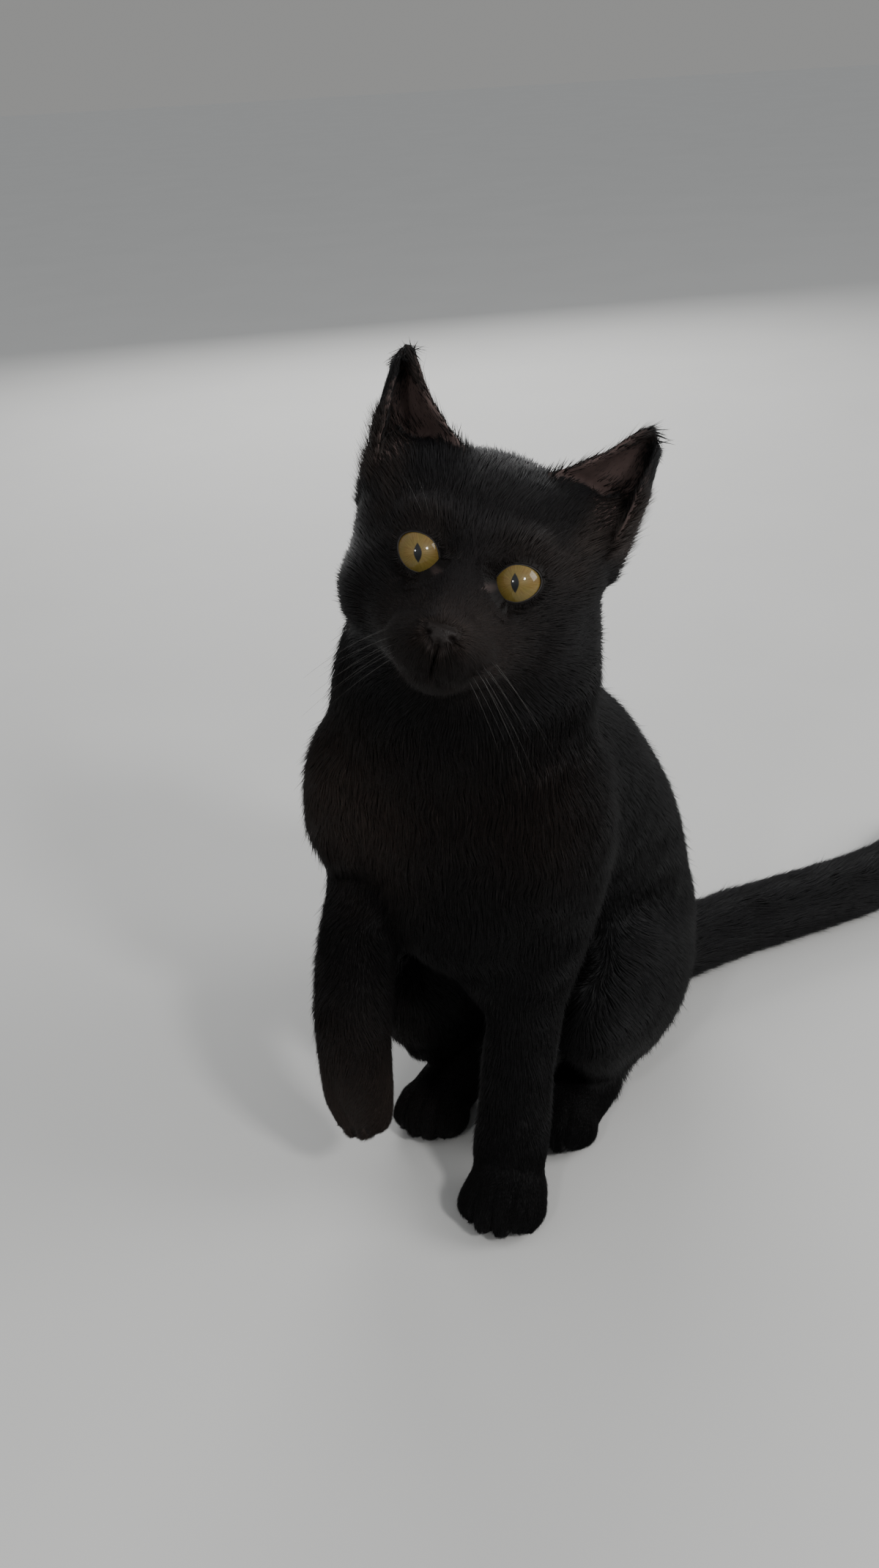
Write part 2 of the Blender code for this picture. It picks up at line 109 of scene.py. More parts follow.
def cat_origin():
    """The floor point between the forelegs that the body's measures start from."""
    return head_origin() - Vector(HEAD_PLACE) * MM


def in_head(points):
    """Points of the frame, in the head's frame in millimetres."""
    return (points - np.array(head_origin())) @ np.array(head_turn()) / MM


def out_of_head(points):
    """Points of the head's frame in millimetres, in the frame in metres."""
    return points * MM @ np.array(head_turn()).T + np.array(head_origin())


def in_cat(points):
    """Points of the frame, in the body's measures in millimetres."""
    return (points - np.array(cat_origin())) / MM


def eased(value):
    """Ease a value from 0 to 1, smooth at both ends."""
    value = np.clip(value, 0, 1)
    return value * value * (3 - 2 * value)


def rise(value, start, width):
    """0 up to a start, then eased to 1 over a width."""
    return eased((value - start) / width)


def towards(goal, value, share):
    """A value moved towards a goal by a share of the way."""
    return value + (goal - value) * share


def pushed(places, ways, by):
    """Places moved along their own directions by millimetres."""
    return places + ways * (by * MM)[:, None]


def unit(vectors):
    """Vectors of length one."""
    return vectors / np.maximum(np.linalg.norm(vectors, axis=-1, keepdims=True), 1e-12)


def blob(points, centre, radii):
    """How near points lie to a centre, from 1 there to 0 well outside the radii."""
    return np.exp(-(((points - centre) / np.array(radii, float)) ** 2).sum(axis=1))


def both_sides(points, centre, radii):
    """The same for a centre on the left and its twin on the right."""
    mirrored = np.array([-1, 1, 1])
    return blob(points, centre, radii) + blob(points, np.array(centre) * mirrored, radii)


# ---------------------------------------------------------------- regions

def headness(h):
    """1 on the head and its ears, 0 on the body, from places in the head's frame."""
    away = np.linalg.norm((h - (0, 24, 14)) / (52, 50, 62), axis=1)
    return 1 - rise(away, 0.95, 0.3)


def earness(h):
    """1 on the ears' free part."""
    return rise(h[:, 2], 33, 8) * rise(np.abs(h[:, 0]), 20, 8) * headness(h)


def faceness(h):
    """1 round the nose, fading to 0 at the cheeks and the crown."""
    away = np.linalg.norm((h - NOSE) / (30, 34, 34), axis=1)
    return 1 - rise(away, 0.45, 0.9)


def footness(c):
    """1 on the paws, 0 above the wrists and hocks, from the body's measures."""
    hanging = blob(c, (-33, -40, 42), (22, 26, 30))
    floor_feet = 1 - rise(c[:, 2], 20, 22)
    floor_feet = floor_feet * (1 - rise(c[:, 1], 30, 25))
    return np.clip(np.maximum(floor_feet, eased(hanging * 1.6)), 0, 1)


def legness(c):
    """1 on the lower legs."""
    low = 1 - rise(c[:, 2], 95, 50)
    front = 1 - rise(c[:, 1], -5, 20)
    return low * front


def near_line(places, line):
    """Distance in a plane to a line of places, and the line's direction there."""
    best, lie = np.full(len(places), 1e9), np.zeros((len(places), 2))
    line = np.array(line, float)
    for start, step in zip(line, np.diff(line, axis=0)):
        share = np.clip((places - start) @ step / (step @ step), 0, 1)
        gap = np.linalg.norm(places - start - share[:, None] * step, axis=1)
        near = gap < best
        best[near] = gap[near]
        lie[near] = step / np.linalg.norm(step)
    return best, lie


def tail_nearness(c):
    """Distance to the tail's middle line, and the line's direction there."""
    gap, lie = near_line(c[:, :2], TAIL_RUN)
    return np.hypot(gap, np.maximum(c[:, 2] - 32, 0) * 1.5), np.pad(lie, ((0, 0), (0, 1)))


def tailness(c):
    """1 on the tail beyond the rump."""
    gap, _ = tail_nearness(c)
    return (1 - rise(gap, 20, 10)) * rise(c[:, 1], 112, 22)


# ---------------------------------------------------------------- meshes

def rows_of(items, key, width, kind=np.float32):
    """One attribute of a mesh's items as rows of numbers."""
    values = np.empty(len(items) * width, kind)
    items.foreach_get(key, values)
    return values.reshape(-1, width)


def vertices_of(mesh):
    """Vertex places as rows."""
    return rows_of(mesh.vertices, "co", 3).astype(float)


def normals_of(mesh):
    """Vertex normals as rows."""
    return rows_of(mesh.vertex_normals, "vector", 3).astype(float)


def edges_of(mesh):
    """The two vertices of each edge."""
    return rows_of(mesh.edges, "vertices", 2, np.int32)


def set_rows(items, key, values, kind=np.float32):
    """Set one attribute of a mesh's items from rows of numbers."""
    items.foreach_set(key, np.asarray(values, kind).ravel())


def put_vertices(mesh, places):
    """Move the vertices of a mesh."""
    set_rows(mesh.vertices, "co", places)
    mesh.update()


def put_attribute(mesh, name, values):
    """Store one number for each vertex."""
    set_rows(mesh.attributes.new(name, "FLOAT", "POINT").data, "value", values)


def mesh_from(work, name="work"):
    """A mesh with what was modelled."""
    mesh = bpy.data.meshes.new(name)
    work.to_mesh(mesh)
    work.free()
    return mesh


def as_object(name, data):
    """A new object at the origin, for a mesh, curve, light or camera."""
    item = bpy.data.objects.new(name, data)
    bpy.context.scene.collection.objects.link(item)
    return item


def sided(name, side):
    """A name with its side, left where side is 1 and right where it is -1."""
    return f"{name}_left" if side > 0 else f"{name}_right"


def evaluated(item):
    """The finished mesh of an object with modifiers; the object is removed."""
    graph = bpy.context.evaluated_depsgraph_get()
    mesh = bpy.data.meshes.new_from_object(item.evaluated_get(graph))
    bpy.data.objects.remove(item, do_unlink=True)
    return mesh


def finished(item, slot, *nodes):
    """Let a piece ride on the body and hide the nodes that it stands for; its slot is not used."""
    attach(item, "root")
    if nodes:
        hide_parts(*nodes)
    return item


def averages(places, pairs):
    """The mean place of each vertex's neighbours."""
    count = np.maximum(np.bincount(pairs.ravel(), minlength=len(places)), 1)
    total = np.empty_like(places)
    for axis in range(places.shape[1]):
        column = places[:, axis]
        total[:, axis] = (np.bincount(pairs[:, 0], column[pairs[:, 1]], len(places))
                          + np.bincount(pairs[:, 1], column[pairs[:, 0]], len(places)))
    return total / count[:, None]


def spread(values, pairs, rounds, share):
    """Average values with their neighbours' again and again."""
    for _ in range(rounds):
        values = values + share * (averages(values, pairs) - values)
    return values


def rounded(places, pairs, rounds, share):
    """Smooth places, and give back what the form lost by it."""
    once = spread(places, pairs, rounds, share)
    return once + spread(places - once, pairs, rounds, share)


# ---------------------------------------------------------------- skin

# All in millimetres: the cuts between solids, the remesh's step, and how far above the
# floor the skin and the hair stay.
CUT = 0.3
VOXEL = 1.2
OFF_FLOOR = 0.15
# Smoothing rounds of the fused flesh, and the share of its triangles that are kept.
ROUNDS = 70
KEPT = 0.36
# Forms that fill the ears' roots, in the head's frame, and the fold over the left thigh.
EAR_FILLER = (39, 32, 25)
EAR_FILLER_RADII = (7, 9, 12)
THIGH_FILLERS = (((37, 54, 98), 11), ((42, 70, 96), 12))
# How much taller the right ear's tip is, and how deep the grooves between toes are.
TALLER_EAR = 3.2
TOE_GROOVE = 1.3
# Where the skin is cut finer, as middles and radii in the head's frame.
FINE_EYE = ((15.9, 0, -2.8), (12, 16, 11))
FINE_MUZZLE = ((0, -14, -27), (20, 16, 15))


def swollen_copy(node, by):
    """A copy of a node's solid, merged and grown a little."""
    part = bmesh.new()
    part.from_mesh(node.data)
    bmesh.ops.remove_doubles(part, verts=part.verts, dist=1e-6)
    part.normal_update()
    grown = [vert.co + vert.normal * by for vert in part.verts]
    for vert, place in zip(part.verts, grown):
        vert.co = place
    return mesh_from(part)


def fused_flesh():
    """One closed mesh round all flesh, ears and eyes, with cuts closed and folds filled."""
    whole = bmesh.new()
    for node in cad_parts.values():
        mesh = swollen_copy(node, CUT * MM)
        whole.from_mesh(mesh)
        bpy.data.meshes.remove(mesh)
    on_head = head_turn().to_4x4()
    on_head.translation = head_origin()
    on_body = Matrix.Translation(cat_origin())
    fillers = [(on_head, (side * EAR_FILLER[0], *EAR_FILLER[1:]), EAR_FILLER_RADII)
               for side in (1, -1)]
    fillers += [(on_body, place, (radius, radius, radius)) for place, radius in THIGH_FILLERS]
    for origin, place, radii in fillers:
        size = Matrix.Diagonal(Vector((*radii, 1 / MM)) * MM)
        matrix = origin @ Matrix.Translation(Vector(place) * MM) @ size
        bmesh.ops.create_icosphere(whole, subdivisions=3, radius=1.0, matrix=matrix)
    item = as_object("work", mesh_from(whole))
    remesh = item.modifiers.new("fuse", "REMESH")
    remesh.mode = "VOXEL"
    remesh.voxel_size = VOXEL * MM
    return evaluated(item)


def thinned(mesh, share, body_weight):
    """Fewer triangles where the weight is high."""
    item = as_object("work", mesh)
    group = item.vertex_groups.new(name="body")
    for level in range(1, 5):
        rows = np.nonzero(np.round(body_weight * 4) == level)[0].tolist()
        group.add(rows, level / 4, "REPLACE")
    fewer = item.modifiers.new("fewer", "DECIMATE")
    fewer.ratio = share
    fewer.vertex_group = group.name
    return evaluated(item)


def coat_depth(h, c):
    """How far the skin lies under the tips of the coat, in millimetres."""
    depth = 1.5 - 0.5 * legness(c)
    depth = towards(0.8, depth, headness(h))
    depth = towards(0.5, depth, faceness(h) * headness(h))
    depth = towards(0.3 - 0.9 * rise(h[:, 2], 54, 8), depth, earness(h))
    return towards(0.6, depth, footness(c))


def eye_axes(side):
    """An eye's axes: outwards along the lids, up across them, and out of the head."""
    ahead = (cat_origin() + Vector(LOOKS_AT) * MM - eye_centre(side)).normalized()
    across = head_turn() @ Vector((side, 0, 0))
    across = (across - ahead * across.dot(ahead)).normalized()
    up = ahead.cross(across) * side
    slant = math.radians(LID_SLANT)
    outward = across * math.cos(slant) + up * math.sin(slant)
    upward = up * math.cos(slant) - across * math.sin(slant)
    return np.array(outward), np.array(upward), np.array(ahead)


# The lids' slant in degrees, up towards the outer corners.
LID_SLANT = 27
# Where each opening's middle lies on its eye, in millimetres outwards and upwards.
OPENING_SHIFT = {1: (-0.55, 0.15), -1: (0.7, -0.45)}
# How far each pupil is turned from the point looked at, in millimetres left and up.
GAZE = (-1.0, 0.3)
# Half the opening's width and height, and how far from its ball a lid lies.
OPENING_HALF = (9.4, 6.4)
LID_GAP = 0.75
# How far from an eye's middle its lids and the folds round them reach.
LID_REACH = EYE_RADIUS + 8


def opening_edge(x, y):
    """How far a place on the eye lies outside the opening between the lids."""
    half_x = np.where(x < 0, OPENING_HALF[0] + 0.7, OPENING_HALF[0] - 0.2)
    half_y = OPENING_HALF[1] * (1 - 0.3 * eased(-x / half_x) - 0.06 * eased(x / half_x))
    return (np.hypot(x / half_x, y / half_y) - 1) * 7.5


def on_ball(side, places):
    """Places seen from an eye: outwards and upwards along its ball from the opening's middle,
    the cosine of their turn from where it looks, how far out they lie, and the way there."""
    outward, upward, ahead = eye_axes(side)
    ray = (places - np.array(eye_centre(side))) / MM
    far = np.linalg.norm(ray, axis=1)
    ray = unit(ray)
    front = np.clip(ray @ ahead, -1, 1)
    turned = EYE_RADIUS * np.arccos(front) / np.sqrt(np.maximum(1 - front ** 2, 1e-6))
    x = ray @ outward * turned - OPENING_SHIFT[side][0]
    y = ray @ upward * turned - OPENING_SHIFT[side][1]
    return x, y, front, far, ray


def opened_eyes(places):
    """Hold the skin against each eye as lids, and push it behind the eye between them."""
    for side in (1, -1):
        x, y, front, far, ray = on_ball(side, places)
        gap = opening_edge(x, y)
        near = (front > 0) & (far < LID_REACH)
        lid = EYE_RADIUS + LID_GAP + 0.12 * np.clip(gap, 0, 4)
        outer = towards(far, lid, rise(gap, 0.5, 5))
        target = towards(outer, EYE_RADIUS - 2.5, rise(gap, -0.45, 0.8))
        places = pushed(places, ray, (target - far) * near)
    return places


# Features of the face across and up, in the head's frame; each has its twin on the other side.
INNER_CORNER = (8.0, -4.7)
NOSTRIL = (3.9, -22.6)
NOSE_SLIT = ((4.6, -22.9), (6.2, -24.4))
LIP_SPLIT = ((0, -25.0), (0, -32.8))
MOUTH = ((0, -32.8), (4, -34.4), (9, -34.8), (14, -33.0), (18.5, -29.0))


def face_gap(h, line):
    """Distance across and up to a line of the face and its twin."""
    return near_line(np.stack((np.abs(h[:, 0]), h[:, 2]), axis=1), line)[0]


def leather(h):
    """1 on the bare nose."""
    x, z = np.abs(h[:, 0]), h[:, 2]
    half = 1.3 + 4.3 * rise(z, -26.3, 4.6)
    inside = eased((half - x) / 0.9) * rise(z, -26.4, 1.0) * eased((-19.2 - z) / 1.2)
    return inside * (h[:, 1] < -6)


def ridge(gap, width):
    """1 along a line, falling off to both sides."""
    return np.exp(-(gap / width) ** 2)


def moulded_face(places, normals):
    """Nose, nostrils, the lip's split and the mouth."""
    h = in_head(places)
    facing, nosing = h[:, 1] < 4, h[:, 1] < -8
    x, z = np.abs(h[:, 0]), h[:, 2]
    bare = leather(h)
    move = 0.75 * bare - 1.4 * bare * (1 - bare)
    nostril = np.hypot((x - NOSTRIL[0]) / 1.05, (z - NOSTRIL[1]) / 0.75)
    move -= 1.7 * np.exp(-nostril ** 4) * nosing
    move -= 0.9 * ridge(face_gap(h, NOSE_SLIT), 0.55) * nosing
    move -= 1.5 * ridge(face_gap(h, LIP_SPLIT), 0.9) * facing
    mouth = face_gap(h, MOUTH)
    move -= 2.3 * ridge(mouth, 1.1) * facing * eased((19.5 - x) / 4)
    move += 0.25 * ridge(mouth - 2.2, 1.2) * facing
    return pushed(places, normals, move)


# Each paw on the floor: its middle, the front of its toes, and the width of one toe.
PAWS = ((24.5, -54.0, 8.2), (28.6, -1.0, 7.7), (-26.4, -13.0, 7.7))


def toe_grooves(c):
    """1 along the grooves between the toes."""
    x, y, z = c.T
    groove = np.zeros(len(c))
    for middle, front, wide in PAWS:
        near = (1 - rise(y - front, 9, 9)) * (1 - rise(z, 17, 7))
        near = near * (np.abs(x - middle) < 20) * (np.abs(y - front) < 22)
        for place in (-1, 0, 1):
            line = middle + place * wide * (1 - 0.012 * (y - front))
            groove += near * ridge(x - line, 1.3)
    hanging = (1 - rise(z, 38, 7)) * rise(-y, 36, 6) * (np.abs(x + 34) < 16) * (z > 26)
    for place in (-1, 0, 1):
        groove += hanging * ridge(x + 34 - place * 6.4, 1.2)
    return groove


def make_skin():
    """The whole skin as one mesh with its face, lids and toes."""
    mesh = fused_flesh()
    places, pairs = vertices_of(mesh), edges_of(mesh)
    h, c = in_head(places), in_cat(places)
    body = np.clip(1 - headness(h), 0, 1)
    share = 0.8 * body * (1 - 0.78 * footness(c)) + 0.08
    share = share + 0.4 * both_sides(h, (14, 6, 12), (18, 18, 10))
    share = share * (1 - earness(h)) + 0.02 * earness(h)
    places = rounded(places, pairs, ROUNDS, share[:, None])
    taller = rise(h[:, 2], 46, 20) * (h[:, 0] < -20)
    places = places + np.array(head_turn() @ Vector((0, 0, TALLER_EAR * MM))) * taller[:, None]
    put_vertices(mesh, places)
    normals = unit(spread(normals_of(mesh), pairs, 6, 0.6))
    put_vertices(mesh, pushed(places, normals, -coat_depth(h, c)))
    mesh = thinned(mesh, KEPT, body * (1 - 0.7 * footness(c)))
    unwrapped(mesh)
    mesh = with_fine_face(mesh)
    places, pairs = vertices_of(mesh), edges_of(mesh)
    places = spread(places, pairs, 4, 0.5 * headness(in_head(places))[:, None])
    places = opened_eyes(places)
    put_vertices(mesh, places)
    normals = normals_of(mesh)
    places = moulded_face(places, normals)
    places = pushed(places, normals, -TOE_GROOVE * toe_grooves(in_cat(places)))
    places[:, 2] = np.maximum(places[:, 2], OFF_FLOOR * MM)
    put_vertices(mesh, places)
    return mesh


def unwrapped(mesh):
    """Unwrap the skin's own shape."""
    item = as_object("work", mesh)
    bpy.context.view_layer.objects.active = item
    item.select_set(True)
    bpy.ops.object.mode_set(mode="EDIT")
    bpy.ops.mesh.select_all(action="SELECT")
    bpy.ops.uv.smart_project(angle_limit=math.radians(66), island_margin=0.002)
    bpy.ops.object.mode_set(mode="OBJECT")
    mesh.uv_layers[0].name = "OFBake"
    bpy.data.objects.remove(item, do_unlink=True)


def with_fine_face(mesh):
    """Cut the faces round the eyes, nose, mouth and toes finer."""
    work = bmesh.new()
    work.from_mesh(mesh)
    centres = np.array([face.calc_center_median() for face in work.faces])
    h = in_head(centres)
    near = both_sides(h, *FINE_EYE) > 0.3
    near |= blob(h, *FINE_MUZZLE) > 0.3
    near |= toe_grooves(in_cat(centres)) > 0.05
    work.faces.ensure_lookup_table()
    edges = {edge for row in np.nonzero(near)[0] for edge in work.faces[row].edges}
    bmesh.ops.subdivide_edges(work, edges=list(edges), cuts=1, use_grid_fill=True)
    bpy.data.meshes.remove(mesh)
    return mesh_from(work, "skin")


# ---------------------------------------------------------------- coat tints and painted light

def ear_facing(normals):
    """1 where the skin of the head faces forwards."""
    return rise(-(normals @ np.array(head_turn()))[:, 1], 0.05, 0.4)


def inner_ear(h, normals):
    """1 on the bare inside of the ears, fainter along their outer edges."""
    out = np.abs(h[:, 0])
    low = eased((h[:, 2] - 33 + 14 * rise(out, 28, 8)) / 9) * (h[:, 2] > 24 - 8 * (out > 28))
    return (1 - 0.5 * rise(out, 40, 6)) * headness(h) * low * ear_facing(normals)


def ear_edge_hair(h, normals):
    """1 inside the ears along their inner edges and low down, where thin hair crosses them."""
    out = np.abs(h[:, 0])
    near = 1 - eased((out - 11 - 1.3 * (h[:, 2] - 36)) / 8)
    inside = rise(h[:, 2], 30, 8) * near * rise(out, 14, 6)
    low = 1 - rise(h[:, 2], 34, 12)
    low = low * rise(out, 27, 7) * rise(h[:, 2], 10, 8)
    return np.maximum(inside, low) * ear_facing(normals) * headness(h)


def eye_corner(h):
    """1 on the thinly haired spots at the inner corners of the eyes."""
    x, y, z = h.T
    gap = np.hypot(np.abs(x) - INNER_CORNER[0], z - INNER_CORNER[1])
    return (1 - rise(gap, 0.8, 2.2)) * (y < 12) * (y > -14)


def lid_gap(places):
    """How far places lie outside the nearer eye's opening, in millimetres."""
    nearest = np.full(len(places), 99.0)
    for side in (1, -1):
        x, y, front, far, _ = on_ball(side, places)
        gap = opening_edge(x, y) + 1.6 * np.maximum(far - EYE_RADIUS - 1.3, 0)
        nearest = np.minimum(nearest, np.where((front > 0) & (far < LID_REACH), gap, 99))
    return nearest


# The patches of a marking, in millimetres: its strength, middle and radii.  Twins lie on
# both sides of the head.
# Rusty tint on the shoulders and chest; the third patch is painted light on the lower right
# forearm.
RUSTY_AND_PAINTED_LIGHT_ON_BODY = ((1.0, (-34, -30, 172), (28, 38, 30)), (0.6, (42, -24, 176), (24, 30, 26)),
                 (0.9, (-38, -46, 52), (24, 34, 36)), (0.35, (2, -36, 190), (60, 40, 30)))
RUSTY_ON_HEAD = ((0.75, (0, -12, -27), (22, 22, 16)), (0.2, (0, -2, 2), (46, 28, 36)))
GREY_ON_HEAD = ((0.75, (0, -12, -28), (24, 20, 15)),)
GREY_TWINS = ((0.25, (17, 4, 10), (9, 14, 7)), (0.35, (31, 14, 8), (9, 14, 10)))
# Grey-brown tint on the right shoulder, made paler as painted light where the head's shadow falls.
GREY_AND_PAINTED_LIGHT_SHOULDER = ((0.8, (-38, -30, 172), (22, 34, 32)),)
# Painted light: the lower right forearm is made pale grey-brown where light falls on it.
PAINTED_LIGHT_FOREARM = ((1.0, (-38, -47, 48), (22, 30, 30)),)


def patches(points, places, shape=blob):
    """The sum of a marking's patches at points."""
    return sum(strength * shape(points, middle, radii) for strength, middle, radii in places)


def markings_and_painted_light(places, normals):
    """The coat's colours at places: rusty, grey, painted sheen and bare, each from 0 to 1; rusty
    and grey also hold painted light.
    """
    h, c = in_head(places), in_cat(places)
    on_head = headness(h)
    rusty = towards(patches(h, RUSTY_ON_HEAD), patches(c, RUSTY_AND_PAINTED_LIGHT_ON_BODY), on_head)
    grey = patches(h, GREY_ON_HEAD) + patches(h, GREY_TWINS, both_sides)
    grey = towards(grey + 0.5 * ear_edge_hair(h, normals), patches(c, GREY_AND_PAINTED_LIGHT_SHOULDER), on_head)
    grey = grey + patches(c, PAINTED_LIGHT_FOREARM)
    bare = inner_ear(h, normals) + 0.4 * eye_corner(h)
    # Painted sheen: the back, flanks, tail and back of the head are made lighter where light from
    # above and behind falls.
    back = rise(c[:, 1], -12, 45) * rise(c[:, 2], 25, 40)
    smoky = np.maximum(back, 0.2 * tailness(c))
    smoky = towards(0.45 * rise(h[:, 1], 18, 24), smoky, on_head)
    return [np.clip(share, 0, 1) for share in (rusty, grey, smoky, bare)]


# ---------------------------------------------------------------- finishes

class Nodes:
    """A node tree of a material or world, with short ways to add and join nodes."""

    def __init__(self, name, kind="materials", shader="Principled BSDF"):
        self.owner = getattr(bpy.data, kind).new(name)
        self.owner.use_nodes = True
        self.tree = self.owner.node_tree
        self.shader = self.tree.nodes[shader]

    def add(self, kind, **values):
        """A node; values whose names are sockets are set or joined, others are settings."""
        node = self.tree.nodes.new(kind)
        for name, value in values.items():
            if hasattr(node, name):
                setattr(node, name, value)
            else:
                self.join(value, node, name.replace("_", " "))
        return node

    def join(self, value, node, socket):
        """Set or link a node's input, named or numbered."""
        socket = int(socket[1:]) if socket[:1] == "i" and socket[1:].isdigit() else socket
        target = node.inputs[socket]
        if isinstance(value, bpy.types.NodeSocket):
            self.tree.links.new(value, target)
        else:
            target.default_value = value

    def sum(self, operation, *values):
        """A maths node."""
        return self.add("ShaderNodeMath", operation=operation, **numbered(values)).outputs[0]

    def vector(self, operation, *values, **named):
        """A vector maths node."""
        return self.add("ShaderNodeVectorMath", operation=operation, **numbered(values), **named)

    def scaled(self, value, by):
        """A vector or colour times a number."""
        return self.vector("SCALE", value, Scale=by).outputs[0]

    def mix(self, share, first, second):
        """A mixture of two colours."""
        node = self.add("ShaderNodeMix", data_type="RGBA")
        for place, value in ((0, share), (6, first), (7, second)):
            if not isinstance(value, (float, bpy.types.NodeSocket)):
                value = (*value, 1)
            self.join(value, node, f"i{place}")
        return node.outputs[2]

    def coordinates(self, kind="Object"):
        """Places on the piece."""
        return self.add("ShaderNodeTexCoord").outputs[kind]

    def attribute(self, name):
        """A number stored on the mesh."""
        return self.add("ShaderNodeAttribute", attribute_name=name).outputs["Fac"]

    def noise(self, scale, detail=3.0, roughness=0.55, vector=None):
        """Noise on Object coordinates."""
        return self.add("ShaderNodeTexNoise", Vector=vector or self.coordinates(), Scale=scale,
                        Detail=detail, Roughness=roughness).outputs["Fac"]

    def ramp(self, value, low, high):
        """A value spread from 0 at low to 1 at high."""
        return self.add("ShaderNodeMapRange", Value=value, From_Min=low, From_Max=high).outputs[0]

    def bump(self, height, strength, distance):
        """A surface made uneven by a height."""
        return self.add("ShaderNodeBump", Height=height, Strength=strength,
                        Distance=distance).outputs[0]

    def finish(self, **values):
        """Set the shader's own sockets."""
        for name, value in values.items():
            if isinstance(value, tuple):
                value = (*value, 1)
            self.join(value, self.shader, name.replace("_", " "))
        return self.owner


def numbered(values):
    """Values for a node's inputs in their order."""
    return {f"i{place}": value for place, value in enumerate(values)}


def coat_colour(nodes, settings):
    """The coat's colour with its tints, its painted sheen and its painted light."""
    patchy = nodes.ramp(nodes.noise(38.0), 0.35, 0.7)
    colour = nodes.mix(patchy, settings.black, settings.soft_black)
    for marking in ("smoky", "rusty", "grey"):
        colour = nodes.mix(nodes.attribute(marking), colour, getattr(settings, marking))
    return colour


def coat_finish(settings):
    """Soft black hair; each tuft has its own tone and is lighter at its tip."""
    nodes = Nodes("black hair")
    colour = coat_colour(nodes, settings)
    tone = nodes.attribute("tone")
    strength = nodes.sum("MULTIPLY_ADD", tone, 0.7, 0.65)
    tip = nodes.sum("MULTIPLY_ADD", nodes.attribute("along"), 0.4, 0.8)
    colour = nodes.scaled(colour, nodes.sum("MULTIPLY", strength, tip))
    rough = nodes.sum("MULTIPLY_ADD", tone, 0.12, settings.roughness - 0.06)
    return nodes.finish(Base_Color=colour, Roughness=rough, Specular_IOR_Level=0.12,
                        Sheen_Weight=settings.sheen, Sheen_Roughness=0.5,
                        Sheen_Tint=(0.62, 0.62, 0.66))


def skin_finish(coat, skin):
    """Skin darker than the coat as painted shade, bare and rosy inside the ears and at the eyes'
    corners.
    """
    nodes = Nodes("cat skin")
    # Painted shade: the skin is made darker than the coat to stand in for the shadow between the
    # hairs.
    colour = nodes.scaled(coat_colour(nodes, coat), 0.45)
    rosy = nodes.mix(nodes.ramp(nodes.noise(160.0), 0.3, 0.75), skin.ear, skin.ear_dark)
    leathery = nodes.attribute("leather")
    colour = nodes.mix(nodes.attribute("bare"), colour, rosy)
    colour = nodes.mix(leathery, colour, skin.nose)
    pores = nodes.add("ShaderNodeTexVoronoi", Scale=1500.0, Vector=nodes.coordinates())
    grain = nodes.mix(leathery, nodes.noise(900.0, 2.0), pores.outputs["Distance"])
    rough = nodes.sum("MULTIPLY_ADD", leathery, -0.12, 0.6)
    return nodes.finish(Base_Color=colour, Roughness=rough, Specular_IOR_Level=0.11,
                        Normal=nodes.bump(grain, 0.3, 0.3 * MM))


# Fixed colours: the iris's dark rim and the slit, and the dark and light of the lids' rims
# and of the whiskers.
IRIS_RIM = (0.012, 0.009, 0.006)
PUPIL = (0.003, 0.004, 0.005)
LID_RIM = ((0.004, 0.003, 0.0027), (0.012, 0.008, 0.007))
WHISKER = ((0.02, 0.018, 0.017), (0.065, 0.06, 0.056))


def eye_finish(settings):
    """A clear wet front over an amber iris with fine spokes and an upright slit."""
    nodes = Nodes("amber eye")
    place = nodes.add("ShaderNodeUVMap", uv_map="iris").outputs[0]
    middle = nodes.vector("SUBTRACT", place, (0.5, 0.5, 0)).outputs[0]
    spot = nodes.add("ShaderNodeSeparateXYZ", Vector=middle)
    x, y = spot.outputs[0], spot.outputs[1]
    reach = nodes.vector("LENGTH", middle).outputs["Value"]
    turned = nodes.vector("NORMALIZE", middle).outputs[0]
    spoke = nodes.scaled(turned, nodes.sum("MULTIPLY_ADD", reach, 1.1, 3.0))
    fibres = nodes.noise(5.0, 6.0, 0.6, spoke)
    cloud = nodes.ramp(nodes.noise(7.0, 2.0, 0.5, place), 0.42, 0.62)
    iris = nodes.mix(nodes.ramp(reach, 0.05, 0.44), settings.iris_inner, settings.iris_outer)
    iris = nodes.mix(nodes.ramp(fibres, 0.38, 0.72), iris, settings.iris_dark)
    for share, strength in ((cloud, 0.35), (nodes.ramp(y, 0.0, -0.3), 0.45)):
        iris = nodes.mix(nodes.sum("MULTIPLY", share, strength), iris, settings.iris_green)
    iris = nodes.mix(nodes.ramp(reach, 0.39, 0.45), iris, IRIS_RIM)
    wide, high = (size / 2 / MM / (2 * EYE_RADIUS)
                  for size in (settings.pupil_width, settings.pupil_height))
    across = nodes.sum("ABSOLUTE", nodes.sum("DIVIDE", x, wide))
    tall = nodes.sum("POWER", nodes.sum("ABSOLUTE", nodes.sum("DIVIDE", y, high)), 1.8)
    pupil = nodes.ramp(nodes.sum("ADD", across, tall), 1.12, 0.88)
    colour = nodes.mix(pupil, iris, PUPIL)
    return nodes.finish(Base_Color=colour, Roughness=0.42, Specular_IOR_Level=0.15,
                        Normal=nodes.bump(fibres, 0.12, 0.3 * MM), Coat_Weight=0.7,
                        Coat_Roughness=0.03, Coat_IOR=1.38)


